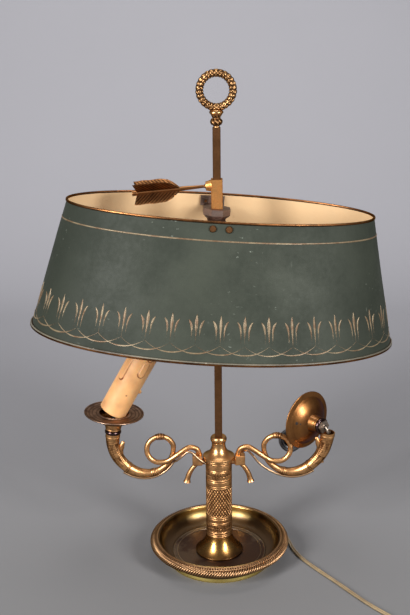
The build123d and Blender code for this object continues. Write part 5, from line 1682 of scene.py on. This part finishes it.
# ---------- shade
@dataclass
class Shade:
    """The oval painted shade, its rolled edges, its gilt border, and the carrier inside."""

    rim_height: float = 402.4
    yaw: float = 2.5
    roll: float = 4.5
    shift: float = 5.0
    top: tuple[float, float] = (156.7, 74.0)
    bottom: tuple[float, float] = (189.7, 106.0)
    height: float = 134.5
    wall: float = 1.0
    top_bead: float = 2.6
    bottom_bead: float = 3.6
    motifs: int = 38
    motif_phase: float = 0.5
    line_drop: float = 19.0

    def __post_init__(self) -> None:
        """Work out the tilted frame and the arc-length table that spaces the border."""
        yaw, roll = radians(self.yaw), radians(self.roll)
        along = np.array((cos(yaw) * cos(roll), sin(yaw) * cos(roll), -sin(roll)))
        across = np.array((-sin(yaw), cos(yaw), 0.0))
        self.place = Place(np.array((0.0, 0.0, self.rim_height)), along, across, np.cross(along, across))
        self.slope = atan((self.bottom[1] - self.top[1]) / self.height)
        self.table_angle = np.linspace(-pi, pi, 2049)
        length, width = self.oval(92.0)
        self.table_run = lengths(circle(self.table_angle) * np.array((length, width)))
        self.perimeter = self.table_run[-1]

    def oval(self, drop: Array) -> tuple[Array, Array]:
        """Half length and half width of the outer surface at a depth below the rim."""
        share = drop / self.height
        return tuple(top + (bottom - top) * share for top, bottom in zip(self.top, self.bottom))

    def skin(self, angle: Array, drop: Array, out: Array, size_drop: Optional[float] = None) -> Array:
        """Points on the shade: x = (a + out) cos angle, y = (b + out) sin angle, z = -drop.

        Args:
            angle: direction from the shade's middle.
            drop: depth below the rim.
            out: how far the point stands proud of the skin.
            size_drop: depth at which the half axes a and b are taken, where it isn't drop.

        Returns:
            The points, tilted with the shade.
        """
        length, width = self.oval(drop if size_drop is None else size_drop)
        x = self.shift + (length + out) * np.cos(angle)
        y = (width + out) * np.sin(angle)
        return self.place.at(np.stack(np.broadcast_arrays(x, y, -drop * np.ones_like(angle)), -1))

    def shell(self) -> None:
        """The wall: green outside, cream inside, with slight dents from use."""
        rows, angle = 60, np.linspace(0, 2 * pi, 361)[None, :-1]
        drops = np.linspace(self.top_bead - 0.6, self.height - self.bottom_bead + 0.6, rows)[:, None]
        dent = 0.28 * ripple(drops / self.height, angle / (2 * pi), 11, 4)
        points = [self.skin(angle, drops, dent), self.skin(angle, drops[::-1], dent[::-1] - self.wall)]
        finish = (np.arange(2 * rows) >= rows - 1).astype(int)
        make("painted_shade", [Patch(np.concatenate(points), wrap_rows=True, finish=finish)],
             [Finish.GREEN_PAINT, Finish.CREAM_PAINT], "shade_shell", body="shade")

    def edge(self, name: str, node: str, corners: Sequence[tuple[float, float]], size_drop: float, fillet: float,
             bright: tuple[float, float]) -> None:
        """A rolled edge: a rounded section carried round the oval. On the bottom roll the upper outer face is
        paler: worn paint with a painted highlight where light falls on its top.

        Args:
            name: the piece's name.
            node: the CAD node that it stands for.
            corners: (out, drop) of the section's corners.
            size_drop: depth at which the oval is measured.
            fillet: how far each corner is cut back.
            bright: range of drop over which the edge is made bright, as rubbed metal and, on the top roll's upper
                face, painted highlight.
        """
        out, drop = softened(np.array(corners), fillet, 7).T[..., None]
        angle = np.linspace(0, 2 * pi, 421)[None, :-1]
        low, high = bright
        rubbed_and_lit = held(1 - np.abs(drop - (low + high) / 2) / (high - low))
        rubbed_and_lit = held(rubbed_and_lit + 0.25 * ripple(drop / 10, angle / (2 * pi), 3))
        # the bottom roll's upper outer band: worn paint and a painted highlight on its top
        upper = (drop < size_drop - 2.6) & (out > 0) & (size_drop > 9)
        points = self.skin(angle, drop, out, size_drop)
        edge = Patch(points, wrap_rows=True, relief=rubbed_and_lit, finish=upper.astype(int))
        make(name, [edge], [Finish.RIM_BRONZE, Finish.WORN_AND_LIT_EDGE], node, body="shade")

    def stroke(self, along: Array, up: Array, half: Array, tone: Array) -> Patch:
        """A brush stroke: a thin closed ribbon on the outer skin.

        The ribbon's edges lie half a width to each side, square to its spine.

        Args:
            along: the spine's distance round the border.
            up: its slant height above the bottom edge.
            half: half of the ribbon's width.
            tone: how well the gold is kept, 0 to 1.

        Returns:
            The ribbon.
        """
        spine = np.stack(np.broadcast_arrays(along, up), 1)
        ahead = unit(np.gradient(spine, axis=0))
        left = np.stack([-ahead[:, 1], ahead[:, 0]], 1) * np.reshape(half, (-1, 1))
        around, level = np.stack([spine + share * left for share in (1, 0.7, -0.7, -1)], 1).transpose(2, 0, 1)
        angle = np.interp(np.mod(around, self.perimeter), self.table_run, self.table_angle)
        out = np.array((-0.24, 0.34, 0.34, -0.24))
        points = self.skin(angle, self.height - level * cos(self.slope), out)
        return Patch(points, relief=np.reshape(tone, (-1, 1)))

    def border(self) -> None:
        """The gilt border: three-leaved palmettes above overlapping swags, and a ruled line on top."""
        chance = np.random.default_rng(7)
        pitch = self.perimeter / self.motifs
        t, s = np.linspace(0.0, 1.0, 12), np.linspace(0.0, 1.0, 26)
        curl = past(t, 0.45, 0.55)
        blades = [np.sin(pi * t**power) ** root for power, root in ((2.3, 0.9), (3.0, 0.8))]
        tips = [np.sin(pi * held(line)) ** 0.25 for line in (t * 1.02 + 0.02, np.clip(t, 0.01, 0.99))]
        ends = np.sin(pi * np.clip(s, 0.004, 0.996)) ** 0.2
        strokes = []
        for k in range(self.motifs):
            at = (k + self.motif_phase) * pitch
            wear_and_sheen = chance.uniform(0.55, 1.0, 4)
            size = chance.uniform(0.85, 1.15, 4)
            shiver = chance.uniform(-0.4, 0.4, 4)
            strokes.append((at + shiver[0] * (1 - t), 19.0 + 30.0 * t,
                            (0.2 + 1.5 * size[0] * blades[0]) * tips[0], wear_and_sheen[0] * held(0.15 + 1.4 * t)))
            for side, index in ((-1, 1), (1, 2)):
                bow = at + side * (3.6 + 0.3 * t + 3.6 * curl**2.2) + shiver[index] * 0.5
                strokes.append((bow, 20.0 + 25.0 * t - 1.6 * curl**3,
                                (0.18 + 1.15 * size[index] * blades[1]) * tips[1],
                                wear_and_sheen[index] * held(1.45 * t - 0.05)))
            strokes.append((at + 2 * pitch * s, 10.8 + shiver[3] + 8.8 * np.abs(2 * s - 1) ** 2.1,
                            (0.16 + 0.62 * size[3] * hump(s - 0.56, 0.26)) * ends,
                            wear_and_sheen[3] * held(0.35 + 0.9 * np.sin(pi * s))))
        slant = self.height / cos(self.slope) - self.line_drop
        for k in range(24):
            run = np.linspace(k, k + 1.004, 22) * self.perimeter / 24
            strokes.append((run, slant, np.full(22, 0.75), np.full(22, 0.7)))
        make("gilt_border", [self.stroke(*given) for given in strokes], [Finish.GOLD_LINE], body="shade", sharp=80)

    def build(self) -> None:
        """The shade and what carries it."""
        self.shell()
        end = self.height
        self.edge("shade_top_roll", "shade_top_bead", ((-1.5, 0.05), (0.85, 0.05), (0.85, 2.55), (-1.5, 2.55)),
                  self.top_bead, 1.0, (0.0, 1.2))
        self.edge("shade_bottom_roll", "shade_bottom_bead",
                  ((-1.9, end - 3.55), (1.45, end - 3.55), (1.45, end - 0.05), (-1.9, end - 0.05)), end, 1.4,
                  (end - 1.6, end + 0.2))
        self.border()
        dress_node(Finish.BLOCK_BRASS, "slider_block")
        dress_node(Finish.DULL_STEEL, "carrier_hub", "carrier_bar")
        dress_node(Finish.ROD_BRASS, "carrier_screws")
        dress_node(Finish.RAW_IRON, "carrier_nuts")


# ---------- arrow key
@dataclass
class ArrowKey:
    """The thumb screw that clamps the block: an arrow's shaft with four barbed vanes."""

    height: float = 423.4
    slope: float = 5.2
    foot: float = 4.3
    screw: float = 2.5
    length: float = 82.0
    boss_end: float = 7.03
    reach: float = 15.0
    thickness: float = 1.4
    rib_depth: float = 0.34
    barb_pitch: float = 3.6

    def __post_init__(self) -> None:
        """Stand the key's foot on the rod and its axis."""
        tilt = radians(self.slope)
        self.place = Place.of((-self.foot, 0.0, self.height), (-cos(tilt), 0.0, -sin(tilt)), (0, 1, 0))

    def stem(self) -> Patch:
        """The turned screw and shaft with a nock at its end."""
        r, b, n = self.screw, self.boss_end, self.length
        line = [(0, 0), (r, 0), (r, b + 0.6), (1.6, b + 1.0), (1.5, b + 3.0), (1.75, b + 10.0), (2.2, b + 22.0),
                (2.2, n - 6.0), (2.7, n - 4.2), (2.7, n - 0.4), (2.3, n), (0, n)]
        return lathe(rounded(line, reach=1.2, steps=5), 40, closed=False, place=self.place)

    def vane(self, quarter: int) -> Patch:
        """One vane: a thin blade on a grid of length and reach, both faces ribbed by slanting barbs.

        The free edge waves a little, the back edge slants outwards and back, and the blade thins
        from the shaft to its edge. The grid goes out over one face and back over the other.

        Args:
            quarter: which of the four vanes.

        Returns:
            The closed blade.
        """
        place, angle, root = self.place, radians(45 + 90 * quarter), 0.8
        spread = place.x * cos(angle) + place.y * sin(angle)
        normal = np.cross(place.z, spread)
        s, across = np.linspace(0.0, 1.0, 110)[:, None], np.linspace(0.0, 1.0, 16)[None]
        front, back = self.boss_end + 25.0, self.length - 5.0
        edge = self.reach * np.sin(held(s / 0.42) * pi / 2) ** 0.85
        edge = edge * (1 - 0.035 * (0.5 - 0.5 * np.cos(2 * pi * s * 3.2 + quarter)) * (s > 0.3))
        run = front + (back - front) * s + 3.2 * across * s
        out = np.where(edge < 0.9, root, root + (edge - root) * across)
        barb = np.abs(np.sin(pi * ((run - 0.9 * out) / self.barb_pitch)))
        rib = self.rib_depth * held(1.5 - 1.9 * barb) * held(out / 3.0 - 0.4)
        fade = past(1, across, 0.06) * held(s / 0.02) * past(1, s, 0.012)
        half = (self.thickness / 2 * (1.0 - 0.35 * across) - rib) * np.sqrt(fade)
        base = place.origin + place.z * run[..., None] + spread * out[..., None]
        lift = normal * half[..., None]
        high = held(held(1 - rib / self.rib_depth) * 0.75 + 0.45 * (across > 0.9))
        return Patch(np.concatenate([base + lift, (base - lift)[:, ::-1]], 1),
                     relief=np.concatenate([high, high[:, ::-1]], 1))

    def build(self) -> None:
        """The whole key as one casting."""
        make("arrow_casting", [self.stem()] + [self.vane(k) for k in range(4)], [Finish.ARROW_BRASS], "arrow_key",
             body="key", sharp=60)


def main() -> None:
    """Build every class in order."""
    Studio().build()
    FlexCord().build()
    Base().build()
    Stem().build()
    arms = [HornArm(side) for side in Side]
    for arm in arms:
        arm.build()
    fittings = Fittings(arms[0])
    fittings.left()
    fittings.right()
    Shade().build()
    ArrowKey().build()


if __name__ == "__main__":
    main()
